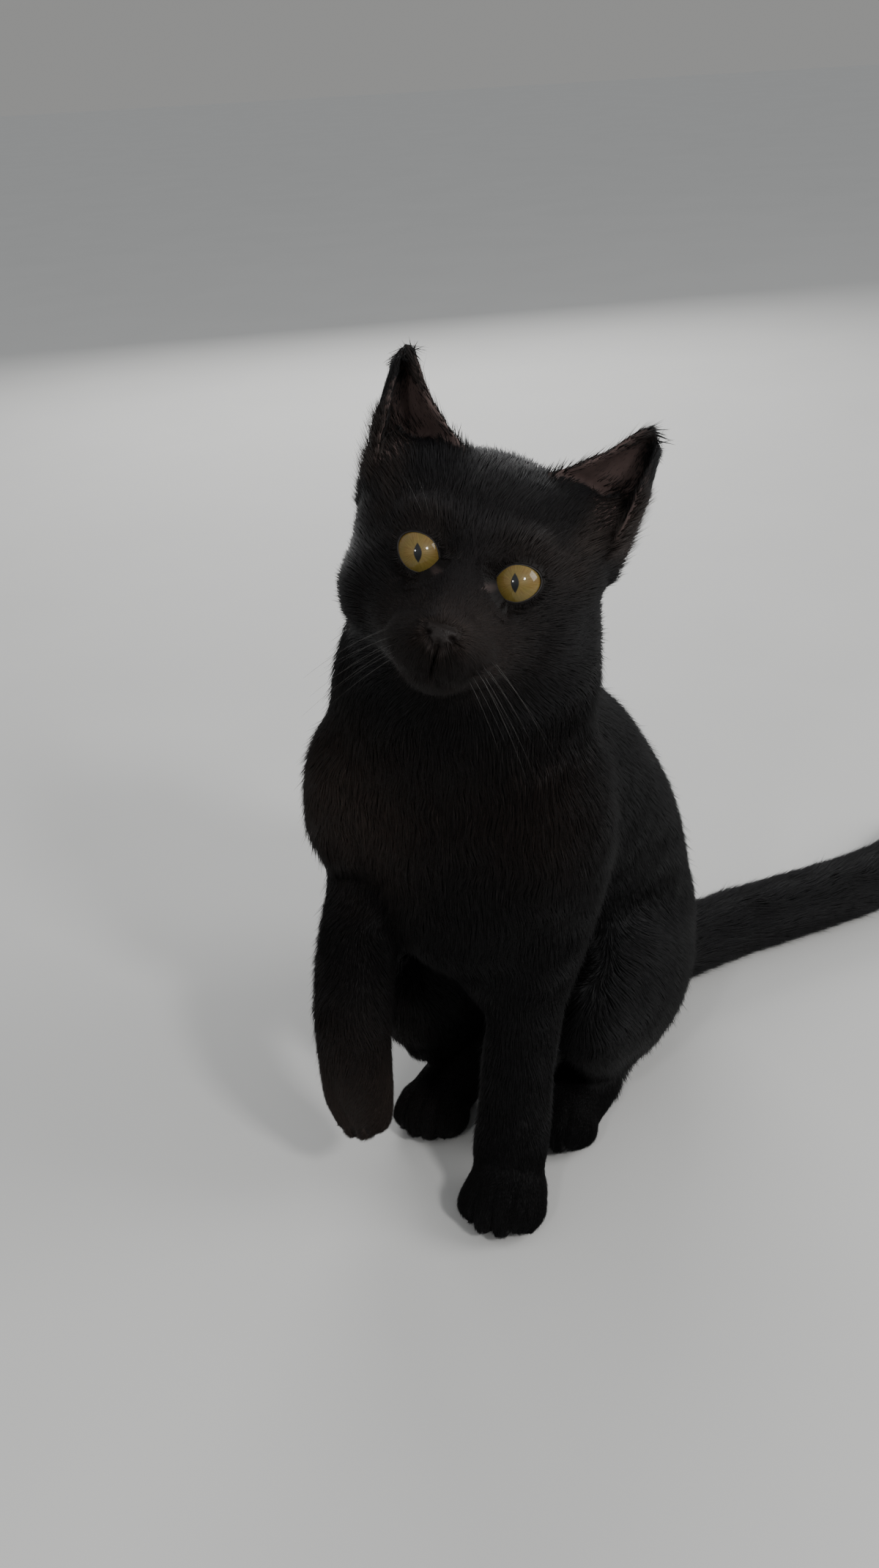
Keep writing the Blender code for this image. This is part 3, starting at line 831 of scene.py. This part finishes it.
def moist_finish(name, dark, light, roughness):
    """Bare moist skin with fine mottling."""
    nodes = Nodes(name)
    colour = nodes.mix(nodes.ramp(nodes.noise(700.0), 0.35, 0.7), dark, light)
    return nodes.finish(Base_Color=colour, Roughness=roughness, Specular_IOR_Level=0.3,
                        Normal=nodes.bump(nodes.noise(2500.0, 2.0), 0.2, 0.2 * MM))


# ---------------------------------------------------------------- coat

# Where the hair of the head parts, behind the nose, and the ears' tips it runs to, in the
# head's frame, and the way the thin hairs cross the ears.
PARTING = (0, -17, -25)
EAR_TIPS = ((46, 18, 70), (-46, 18, 70))
CROSSING_WAYS = ((0.75, -0.2, 0.6), (-0.75, -0.2, 0.6))
CROSSING_LENGTH = 8.5


def twin(h, pair):
    """The first of a pair on the head's left side, the second on its right."""
    return np.where(h[:, :1] > 0, pair[:1], pair[1:])


def flat(lie, normals):
    """Directions laid flat on the skin."""
    return unit(lie - normals * (lie * normals).sum(axis=1, keepdims=True))


def lie_of_coat(places, normals, dice):
    """The way the hair lies at places: back from the nose, down the body, along the tail."""
    h, c = in_head(places), in_cat(places)
    on_head = eased(headness(h))[:, None]
    front = (1 - rise(c[:, 1], -15, 30))[:, None]
    lie = towards(np.array((0.0, 0.0, -1.0)), np.tile((0.0, 0.36, -0.93), (len(places), 1)), front)
    lie = towards(unit(places - out_of_head(np.array([PARTING]))), lie, on_head)
    tip = twin(h, out_of_head(np.array(EAR_TIPS)))
    on_ear = rise(h[:, 2:], 26, 12) * rise(np.abs(h[:, :1]), 18, 8) * on_head
    lie = towards(unit(tip - places), lie, on_ear)
    foot = (footness(c) * (1 - headness(h)))[:, None]
    lie = towards(np.array((0.0, -0.85, -0.5)), lie, foot)
    lie = towards(tail_nearness(c)[1], lie, tailness(c)[:, None])
    for side in (1, -1):
        x, y, front, far, ray = on_ball(side, places)
        gap = np.where((front > -0.2) & (far < LID_REACH), opening_edge(x, y), 99)
        away = (0.85 - 0.85 * rise(gap, 0.3, 3.2))[:, None]
        lie = towards(unit(ray - front[:, None] * eye_axes(side)[2]), unit(lie), away)
    wave = np.zeros_like(lie)
    for turn in range(7):
        pitch = dice.normal(size=3) * (90 + 45 * turn)
        swing = 0.16 * np.sin(places @ pitch + dice.uniform(0, 6.3))[:, None]
        wave += swing * unit(dice.normal(size=3))
    return flat(unit(lie) + wave * (0.55 + 0.3 * (1 - on_head)), normals)


def scattered(mesh, count, weight, dice):
    """Roots on a mesh, denser where its triangles weigh more: places, normals, map places."""
    mesh.calc_loop_triangles()
    corners, loops = (rows_of(mesh.loop_triangles, key, 3, np.int32)
                      for key in ("vertices", "loops"))
    maps = rows_of(mesh.uv_layers["OFBake"].data, "uv", 2)
    places, normals = vertices_of(mesh), normals_of(mesh)
    a, b, c = (places[corners[:, i]] for i in range(3))
    area = np.linalg.norm(np.cross(b - a, c - a), axis=1) / 2
    mass = area * weight[corners].mean(axis=1)
    order = np.argsort((a[:, 2] / (BAND * MM)).astype(int) * 1e3 + a[:, 0] / (1 * MM))
    total = np.cumsum(mass[order])
    picks = (np.arange(count) + dice.random(count)) / count * total[-1]
    rows = order[np.minimum(np.searchsorted(total, picks), len(order) - 1)]
    u, v = np.sqrt(dice.random(count)), dice.random(count)
    share = np.stack([1 - u, u * (1 - v), u * v], axis=1)[:, :, None]
    root, normal, spot = ((values[picked[rows]] * share).sum(axis=1)
                          for values, picked in ((places, corners), (normals, corners),
                                                 (maps, loops)))
    return root, unit(normal), spot


# Half of a tuft's patch on the map, the most tufts in a piece, and in millimetres how deep
# a tuft is rooted and the height of the bands in which triangles are put in order.
PATCH = 0.0015
MOST_TUFTS = 48000
ROOTED = 0.25
BAND = 6
# A tuft's rings of three corners, then its tip: place across and thickness, and map place.
RING = ((-0.5, 0.0), (0.5, 0.0), (0.0, 1.0))
TUFT_MAP = ((-1, -1), (1, -1), (0, -0.2), (0, 1))
TUFT_FACES = ((0, 2, 1), (0, 1, 3), (1, 2, 3), (2, 0, 3))


def tufts(name, roots, normals, spots, lie, length, width, lift, extra):
    """One mesh of closed tufts, each lying over and drawn out to a point."""
    count = len(roots)
    across = np.cross(lie, normals)
    way = np.sin(lift)[:, None] * normals + np.cos(lift)[:, None] * lie
    start = roots - normals * ROOTED * MM
    corners = [start + across * (aside * width)[:, None]
               + normals * (above * 0.4 * width)[:, None] for aside, above in RING]
    corners.append(start + way * length[:, None])
    places = np.stack(corners, axis=1)
    places[:, :, 2] = np.maximum(places[:, :, 2], OFF_FLOOR * MM)
    faces = np.array(TUFT_FACES)
    chart = np.array(TUFT_MAP, float)
    per = len(chart)
    vertex = (faces[None] + (np.arange(count) * per)[:, None, None]).reshape(-1)
    mesh = bpy.data.meshes.new(name)
    mesh.vertices.add(count * per)
    set_rows(mesh.vertices, "co", places)
    mesh.loops.add(len(vertex))
    set_rows(mesh.loops, "vertex_index", vertex, np.int32)
    mesh.polygons.add(len(vertex) // 3)
    set_rows(mesh.polygons, "loop_start", np.arange(0, len(vertex), 3), np.int32)
    mesh.update(calc_edges=True)
    spread_out = (spots[:, None, :] + chart[None] * PATCH).reshape(-1, 2)
    set_rows(mesh.uv_layers.new(name="OFBake").data, "uv", spread_out[vertex])
    put_attribute(mesh, "along", np.tile((0.0, 0.0, 0.0, 1.0), count))
    for key, values in extra.items():
        put_attribute(mesh, key, np.repeat(values, per))
    mesh.shade_smooth()
    return mesh


def hair_length(h, c):
    """How long the hair is at places, in millimetres."""
    length = 10.0 - 3.2 * legness(c)
    length = towards(6.0, length, headness(h))
    length = towards(2.7, length, eased(faceness(h) * 1.15) * headness(h))
    length = towards(2.2, length, earness(h))
    length = towards(3.2, length, footness(c) * (1 - headness(h)))
    near_eyes = np.minimum(*(np.linalg.norm(h - (side * EYE_PLACE[0], 0, 0), axis=1)
                             for side in (1, -1)))
    length = length * (0.6 + 0.4 * rise(near_eyes, 7, 8))
    return length * (1 - 0.6 * rise(h[:, 2], 52, 8) * headness(h))


def shortness(h, c):
    """1 where the hair is so short that straight tufts do."""
    return np.clip(np.maximum(np.maximum(eased(faceness(h) * 1.5), earness(h)), footness(c)), 0, 1)


def hair_allowed(places, normals):
    """0 between the lids, on the nose and under the feet, low inside the ears."""
    h = in_head(places)
    allowed = rise(lid_gap(places), 0.25, 0.5)
    allowed = allowed * (1 - eased(leather(h) * 3))
    mouth = face_gap(h, LIP_SPLIT[:1] + MOUTH)
    allowed = allowed * np.where(h[:, 1] < 4, rise(mouth, 0.45, 0.8), 1)
    allowed = allowed * (1 - 0.6 * eye_corner(h))
    thin = inner_ear(h, normals)
    allowed = allowed * (1 - thin * (0.93 - 0.35 * ear_edge_hair(h, normals)))
    sole = eased((3.0 - places[:, 2] / MM) / 1.5) * (normals[:, 2] < -0.5)
    return allowed * (1 - sole)


def coat_pieces(settings):
    """All tufts of the coat, in pieces."""
    skin = bpy.data.objects["skin"].data
    dice = np.random.default_rng(SEED)
    places, normals = vertices_of(skin), normals_of(skin)
    h, c = in_head(places), in_cat(places)
    allowed, short = hair_allowed(places, normals), shortness(h, c)
    by_eyes = 1 - rise(lid_gap(places), 1, 4)
    kinds = (
        ("coat_long", settings.long_tufts, (1 - short) * (1 + 0.9 * headness(h))),
        ("coat_short", settings.short_tufts, short * (1 + 1.3 * eased(faceness(h)) + 4 * by_eyes)),
    )
    material = coat_finish(settings)
    for name, count, weight in kinds:
        root, normal, spot = scattered(skin, count, weight * allowed + 1e-9, dice)
        lie = lie_of_coat(root, normal, dice)
        h, c = in_head(root), in_cat(root)
        crossing = ear_edge_hair(h, normal) * (dice.random(count) < 0.45)
        sweep = twin(h, np.array(CROSSING_WAYS) @ np.array(head_turn()).T)
        lie = flat(towards(sweep, lie, crossing[:, None]), normal)
        length = towards(CROSSING_LENGTH, hair_length(h, c), crossing)
        length = length * settings.length * dice.uniform(0.75, 1.25, count)
        stray = dice.random(count) < settings.strays
        lift = np.radians(settings.lift_degrees) * dice.uniform(0.6, 1.3, count)
        lift = np.where(stray, lift * 1.9, lift) * (1 - 0.35 * earness(h)) + 0.3 * crossing
        lift = lift + 0.22 * (1 - rise(lid_gap(root), 1, 5))
        width = (0.27 + 0.036 * length) * MM * dice.uniform(0.8, 1.2, count)
        width = width * (1 - 0.45 * crossing) * np.where(stray, 0.6, 1)
        marks = {"tone": dice.random(count)}
        marks.update(zip(("rusty", "grey", "smoky"), markings_and_painted_light(root, normal)))
        pieces = math.ceil(count / MOST_TUFTS)
        for part in range(pieces):
            rows = slice(part * count // pieces, (part + 1) * count // pieces)
            mesh = tufts(f"{name}_{part + 1}", root[rows], normal[rows], spot[rows], lie[rows],
                         length[rows] * MM, width[rows], lift[rows],
                         {key: values[rows] for key, values in marks.items()})
            mesh.materials.append(material)
            finished(as_object(mesh.name, mesh), "coat")


# ---------------------------------------------------------------- eyes and whiskers

# How far the clear front bulges, in millimetres, and how wide, in radians.
BULGE = 0.95
BULGE_TURN = 0.92
# An eyeball's rings from its front to its back, and the steps round each.
EYE_RINGS = 64
EYE_STEPS = 96


def ball_faces(rings, steps):
    """Faces of a ball whose places run from its front, ring by ring, to its back."""
    rows = 1 + np.arange((rings - 1) * steps).reshape(rings - 1, steps)
    beside = np.roll(rows, -1, axis=1)
    front = [(0, first, second) for first, second in zip(rows[0], beside[0])]
    back = [(first, rows.size + 1, second) for first, second in zip(rows[-1], beside[-1])]
    between = np.stack((rows[:-1], rows[1:], beside[1:], beside[:-1]), axis=2)
    return front + between.reshape(-1, 4).tolist() + back


def make_eye(side, settings):
    """An eyeball with a bulging clear front and an upright slit, turned to what the cat sees."""
    ahead, up = eye_axes(side)[2], np.array((0.0, 0.0, 1.0))
    right = unit(np.cross(up, ahead))
    ahead = unit(ahead * EYE_RADIUS + right * GAZE[0] + up * GAZE[1])
    right = unit(np.cross(up, ahead))
    axes = np.array((right, np.cross(ahead, right), ahead))
    turned = np.repeat(np.arange(1, EYE_RINGS) * math.pi / EYE_RINGS, EYE_STEPS)
    way = np.tile(np.arange(EYE_STEPS) * math.tau / EYE_STEPS, EYE_RINGS - 1)
    turned, way = np.pad(turned, 1, constant_values=(0, math.pi)), np.pad(way, 1)
    radius = EYE_RADIUS - 0.05 + BULGE * np.maximum(0, 1 - (turned / BULGE_TURN) ** 2)
    spots = np.stack((np.sin(turned) * np.cos(way), np.sin(turned) * np.sin(way),
                      np.cos(turned)), axis=1) * radius[:, None]
    name = sided("eyeball", side)
    mesh = bpy.data.meshes.new(name)
    places = np.array(eye_centre(side)) + spots @ axes * MM
    mesh.from_pydata(places.tolist(), [], ball_faces(EYE_RINGS, EYE_STEPS))
    vertex = rows_of(mesh.loops, "vertex_index", 1, np.int32)[:, 0]
    chart = 0.5 + spots[:, :2] / (2 * EYE_RADIUS)
    set_rows(mesh.uv_layers.new(name="iris").data, "uv", chart[vertex])
    mesh.shade_smooth()
    mesh.materials.append(eye_finish(settings))
    finished(as_object(name, mesh), "eye", sided("eye", side))


def tube_mesh(name, runs, closed, sides):
    """Round tubes along runs of places and radii, as one closed mesh each."""
    data = bpy.data.curves.new(name, "CURVE")
    data.dimensions = "3D"
    data.bevel_depth = 1.0
    data.bevel_resolution = sides
    data.use_fill_caps = not closed
    for run in runs:
        spline = data.splines.new("POLY")
        spline.points.add(len(run) - 1)
        for point, (place, radius) in zip(spline.points, run):
            point.co = (*place, 1)
            point.radius = radius
        spline.use_cyclic_u = closed
    mesh = evaluated(as_object(name, data))
    bpy.data.curves.remove(data)
    mesh.name = name
    mesh.shade_smooth()
    return mesh


def make_lid_rim(side, material):
    """The bare moist edge of the lids, thicker at the inner corner."""
    outward, upward, ahead = eye_axes(side)
    run = []
    for step in range(72):
        angle = math.tau * step / 72
        x, y = math.cos(angle), math.sin(angle)
        reach = 8.0
        for _ in range(12):
            reach -= float(opening_edge(np.array(x * reach), np.array(y * reach)))
        x = x * reach + OPENING_SHIFT[side][0]
        y = y * reach + OPENING_SHIFT[side][1]
        away = math.hypot(x, y)
        turn = away / EYE_RADIUS
        ray = (outward * x + upward * y) / away * math.sin(turn) + ahead * math.cos(turn)
        corner = max(0.0, -math.cos(angle)) ** 8
        place = np.array(eye_centre(side)) + ray * (EYE_RADIUS + 0.35) * MM
        run.append((place, (0.32 + 0.4 * corner) * MM))
    name = sided("lid_rim", side)
    mesh = tube_mesh(name, [run], True, 3)
    mesh.materials.append(material)
    finished(as_object(name, mesh), "nose")


def whisker_runs(dice, surface):
    """Whiskers that droop back from the muzzle, and a few over the eyes."""
    starts = []
    for side in (1, -1):
        for row in range(4):
            for place in range(3 if row == 1 else 2):
                x, z = 8.5 + 3.8 * place + 0.6 * row, -23.5 - 2.7 * row + 0.6 * place
                away = (side, 0.45 + 0.25 * place, -0.62 - 0.14 * row)
                starts.append((side * x, z, away, 32 + 9 * place + dice.uniform(-5, 5), 0.1))
        for place in range(3):
            x, z = 13.5 + 2.6 * place, 9.5 + 0.6 * place
            away = (side * (0.25 + 0.2 * place), -0.35, 0.9)
            starts.append((side * x, z, away, 16 + 2 * place, 0.08))
    runs = []
    for x, z, away, length, thick in starts:
        start, away = Vector((x, surface(x, z) + 0.6, z)), Vector(away).normalized()
        run = []
        for step in range(9):
            t = step / 8
            place = start + away * (t * length) + Vector((0, 0.35, -0.3)) * (t * t * length * 0.55)
            run.append((out_of_head(np.array([place]))[0], thick * MM * (1 - 0.88 * t)))
        runs.append(run)
    return runs


# ---------------------------------------------------------------- stage

# Each light's turn round the head and rise over it in degrees, its distance and its size
# in metres, and the setting that holds its power.
LIGHTS = (("key_light", 62, 34, 1.4, 0.17, "key"), ("fill_light", 2, 30, 1.4, 0.12, "fill"),
          ("rim_light", 112, 24, 1.8, 0.9, "rim"), ("back_light", 208, 20, 1.8, 1.1, "rim"))
SKY_LOW = (0.66, 0.66, 0.65)
SKY_HIGH = (1.45, 1.5, 1.56)
# Where the camera looks along the floor, how far down and how far tilted, and its lens.
CAMERA_WAY = (-0.4540, 0.8910, 0)
CAMERA_DOWN = 27.5
CAMERA_TILT = -4.7
LENS = 33.81


def make_floor(settings):
    """A wide pale floor."""
    work = bmesh.new()
    bmesh.ops.create_grid(work, x_segments=8, y_segments=8, size=9.0)
    mesh = mesh_from(work, "floor")
    nodes = Nodes("pale floor")
    shade = nodes.mix(nodes.ramp(nodes.noise(6.0), 0.3, 0.7), settings.floor,
                      [value * 0.965 for value in settings.floor])
    mesh.materials.append(nodes.finish(Base_Color=shade, Roughness=0.75))
    as_object("floor", mesh)


def make_lights(scene, settings):
    """Two soft boxes that also glint in the eyes, two behind, and a soft sky."""
    for name, turn, height, away, size, power in LIGHTS:
        lamp = bpy.data.lights.new(name, "AREA")
        lamp.energy = getattr(settings, power)
        lamp.size = size
        turn, height = math.radians(turn), math.radians(height)
        ray = Vector((math.sin(turn) * math.cos(height), -math.cos(turn) * math.cos(height),
                      math.sin(height)))
        item = as_object(name, lamp)
        item.location = head_origin() + ray * away
        item.rotation_euler = ray.to_track_quat("Z", "Y").to_euler()
    nodes = Nodes("soft sky", "worlds", "Background")
    ray = nodes.add("ShaderNodeSeparateXYZ", Vector=nodes.coordinates("Generated"))
    height = nodes.ramp(ray.outputs["Z"], 0.02, 0.9)
    colour = nodes.mix(height, SKY_LOW, SKY_HIGH)
    scene.world = nodes.finish(Color=colour, Strength=settings.sky)


def make_camera(scene):
    """A camera that looks down at the cat, a little tilted."""
    pitch, roll = math.radians(CAMERA_DOWN), math.radians(CAMERA_TILT)
    level = Vector(CAMERA_WAY).normalized()
    ahead = level * math.cos(pitch) - Vector((0, 0, 1)) * math.sin(pitch)
    right = Vector((level.y, -level.x, 0))
    up = right.cross(ahead)
    data = bpy.data.cameras.new("camera")
    data.lens = LENS
    data.sensor_width = 36
    item = as_object("camera", data)
    turn = Matrix((right * math.cos(roll) + up * math.sin(roll),
                   up * math.cos(roll) - right * math.sin(roll), -ahead)).transposed()
    item.matrix_world = Matrix.Translation(cat_origin() + Vector(LOOKS_AT) * MM) @ turn.to_4x4()
    scene.camera = item


# ---------------------------------------------------------------- settings

def length_property(name, description, default):
    """A setting in metres."""
    return bpy.props.FloatProperty(name=name, description=description, default=default,
                                   unit="LENGTH", subtype="DISTANCE", precision=5)


def number_property(name, description, default, high=1.0, **unit_of):
    """A setting that is a plain number or has a unit of its own."""
    return bpy.props.FloatProperty(name=name, description=description, default=default, min=0,
                                   max=high, **unit_of)


def count_property(name, description, default):
    """A setting that counts pieces."""
    return bpy.props.IntProperty(name=name, description=description, default=default, min=100)


def colour_property(name, description, default):
    """A setting that is a colour."""
    return bpy.props.FloatVectorProperty(name=name, description=description, default=default,
                                         size=3, subtype="COLOR", min=0, max=1)


class CatSkinSettings(bpy.types.PropertyGroup):
    """Finish of the skin."""

    ear: colour_property("Ear", "Bare skin inside the ears", (0.092, 0.064, 0.058))
    ear_dark: colour_property("Ear, dark", "Darker patches inside the ears",
                              (0.068, 0.046, 0.042))
    nose: colour_property("Nose", "Bare leather of the nose", (0.0125, 0.0100, 0.0092))


class CatCoatSettings(bpy.types.PropertyGroup):
    """Finish, size and number of the tufts."""

    black: colour_property("Black", "Main colour of the coat", (0.0025, 0.0021, 0.0022))
    soft_black: colour_property("Soft black", "Second colour of the coat",
                                (0.0036, 0.0033, 0.0032))
    # Painted sheen: lighter black where light falls on the back, flanks, tail and crown.
    smoky: colour_property("Painted sheen black", "Back, flanks, tail and crown",
                           (0.0080, 0.0079, 0.0080))
    # Rusty tint of chest and shoulders; on the right foreleg this colour is painted light.
    rusty: colour_property("Rusty black", "Chest and right foreleg", (0.0130, 0.0076, 0.0056))
    # Grey of thin hair; on the right forearm and shoulder this colour is also painted light.
    grey: colour_property("Grey", "Thin hair on brows, temples and muzzle",
                          (0.034, 0.025, 0.021))
    roughness: number_property("Roughness", "Dullness of the hair", 0.5)
    sheen: number_property("Sheen", "Soft light at grazing angles", 0.02)
    length: number_property("Length", "Scale of the hair's length", 1.0, 2.0)
    lift_degrees: number_property("Lift", "How far tufts stand up, in degrees", 13.5, 60.0)
    strays: number_property("Strays", "Share of tufts that stand out", 0.07)
    long_tufts: count_property("Long tufts", "Number on the body", 235000)
    short_tufts: count_property("Short tufts", "Number on face, ears and feet", 135000)


class CatEyeSettings(bpy.types.PropertyGroup):
    """Colours of the eyes and the size of their slits."""

    iris_inner: colour_property("Iris, inner", "Round the slit", (0.155, 0.110, 0.034))
    iris_outer: colour_property("Iris, outer", "Near the rim", (0.128, 0.079, 0.018))
    iris_dark: colour_property("Iris, dark", "Spokes", (0.078, 0.042, 0.007))
    iris_green: colour_property("Iris, green", "Lower part", (0.095, 0.082, 0.016))
    pupil_width: length_property("Slit width", "Across the slit", 0.0027)
    pupil_height: length_property("Slit height", "Along the slit", 0.0066)


class CatStageSettings(bpy.types.PropertyGroup):
    """Floor and lights."""

    floor: colour_property("Floor", "Pale floor", (0.48, 0.475, 0.46))
    key: number_property("Key light", "Power of the main light", 12.0, 200.0, unit="POWER")
    fill: number_property("Fill light", "Power of the second light", 3.5, 200.0, unit="POWER")
    rim: number_property("Rim light", "Power of the lights behind", 20.0, 200.0, unit="POWER")
    sky: number_property("Sky", "Strength of the soft sky", 0.44, 5.0)


# ---------------------------------------------------------------- operators

class CAT_OT_skin(bpy.types.Operator):
    """Fuse the flesh to one skin and model the face on it"""

    bl_idname = "cat.skin"
    bl_label = "Skin"

    def execute(self, context):
        mesh = make_skin()
        if not mesh.polygons:
            raise RuntimeError("the skin came out empty")
        places, normals = vertices_of(mesh), normals_of(mesh)
        marks = (*markings_and_painted_light(places, normals), leather(in_head(places)))
        for key, values in zip(("rusty", "grey", "smoky", "bare", "leather"), marks):
            put_attribute(mesh, key, values)
        mesh.shade_smooth()
        mesh.materials.clear()
        scene = context.scene
        mesh.materials.append(skin_finish(scene.cat_coat, scene.cat_skin))
        finished(as_object("skin", mesh), "coat", *FLESH)
        return {"FINISHED"}


class CAT_OT_eyes(bpy.types.Operator):
    """Make both eyeballs and the rims of their lids"""

    bl_idname = "cat.eyes"
    bl_label = "Eyes and lid rims"

    def execute(self, context):
        rim = moist_finish("lid rim", *LID_RIM, 0.6)
        for side in (1, -1):
            make_eye(side, context.scene.cat_eye)
            make_lid_rim(side, rim)
        return {"FINISHED"}


class CAT_OT_whiskers(bpy.types.Operator):
    """Make the whiskers"""

    bl_idname = "cat.whiskers"
    bl_label = "Whiskers"

    def execute(self, context):
        skin = bpy.data.objects["skin"]
        ahead = head_turn() @ Vector((0, 1, 0))

        def surface(x, z):
            """How far forward the skin lies at a place of the face."""
            start = Vector(out_of_head(np.array([(x, -60, z)]))[0])
            hit, place, _, _ = skin.ray_cast(start, ahead)
            if not hit:
                raise RuntimeError("a whisker finds no skin")
            return float(in_head(np.array([place]))[0, 1])

        dice = np.random.default_rng(SEED + 1)
        mesh = tube_mesh("whiskers", whisker_runs(dice, surface), False, 1)
        mesh.materials.append(moist_finish("whisker", *WHISKER, 0.35))
        finished(as_object("whiskers", mesh), "whisker")
        return {"FINISHED"}


class CAT_OT_coat(bpy.types.Operator):
    """Cover the skin with tufts"""

    bl_idname = "cat.coat"
    bl_label = "Coat"

    def execute(self, context):
        coat_pieces(context.scene.cat_coat)
        return {"FINISHED"}


class CAT_OT_stage(bpy.types.Operator):
    """Set the floor, the lights and the camera"""

    bl_idname = "cat.stage"
    bl_label = "Stage"

    def execute(self, context):
        settings = context.scene.cat_stage
        make_floor(settings)
        make_lights(context.scene, settings)
        make_camera(context.scene)
        return {"FINISHED"}


# ---------------------------------------------------------------- panel and add-on

class CAT_PT_panel(bpy.types.Panel):
    """Lists the pieces of the cat"""

    bl_idname = "CAT_PT_panel"
    bl_label = "Sitting black cat"
    bl_space_type = "VIEW_3D"
    bl_region_type = "UI"
    bl_category = "Cat"

    def draw(self, context):
        """Draw a button for each operator and a field for each setting."""
        for operator in OPERATORS:
            self.layout.operator(operator.bl_idname)
        for key, group in SETTINGS.items():
            box = self.layout.box()
            box.label(text=group.__doc__)
            for name in group.__annotations__:
                box.prop(getattr(context.scene, key), name)


SETTINGS = {"cat_skin": CatSkinSettings, "cat_coat": CatCoatSettings,
            "cat_eye": CatEyeSettings, "cat_stage": CatStageSettings}
OPERATORS = (CAT_OT_skin, CAT_OT_eyes, CAT_OT_whiskers, CAT_OT_coat, CAT_OT_stage)


def register():
    """Register the settings, the operators and the panel."""
    for group in (*SETTINGS.values(), *OPERATORS, CAT_PT_panel):
        bpy.utils.register_class(group)
    for key, group in SETTINGS.items():
        setattr(bpy.types.Scene, key, bpy.props.PointerProperty(type=group))


def unregister():
    """Take back what register did."""
    for key in SETTINGS:
        delattr(bpy.types.Scene, key)
    for group in reversed((*SETTINGS.values(), *OPERATORS, CAT_PT_panel)):
        bpy.utils.unregister_class(group)


def main():
    """Make every piece."""
    register()
    bpy.ops.cat.skin()
    bpy.ops.cat.eyes()
    bpy.ops.cat.whiskers()
    bpy.ops.cat.coat()
    bpy.ops.cat.stage()


if __name__ == "__main__":
    main()
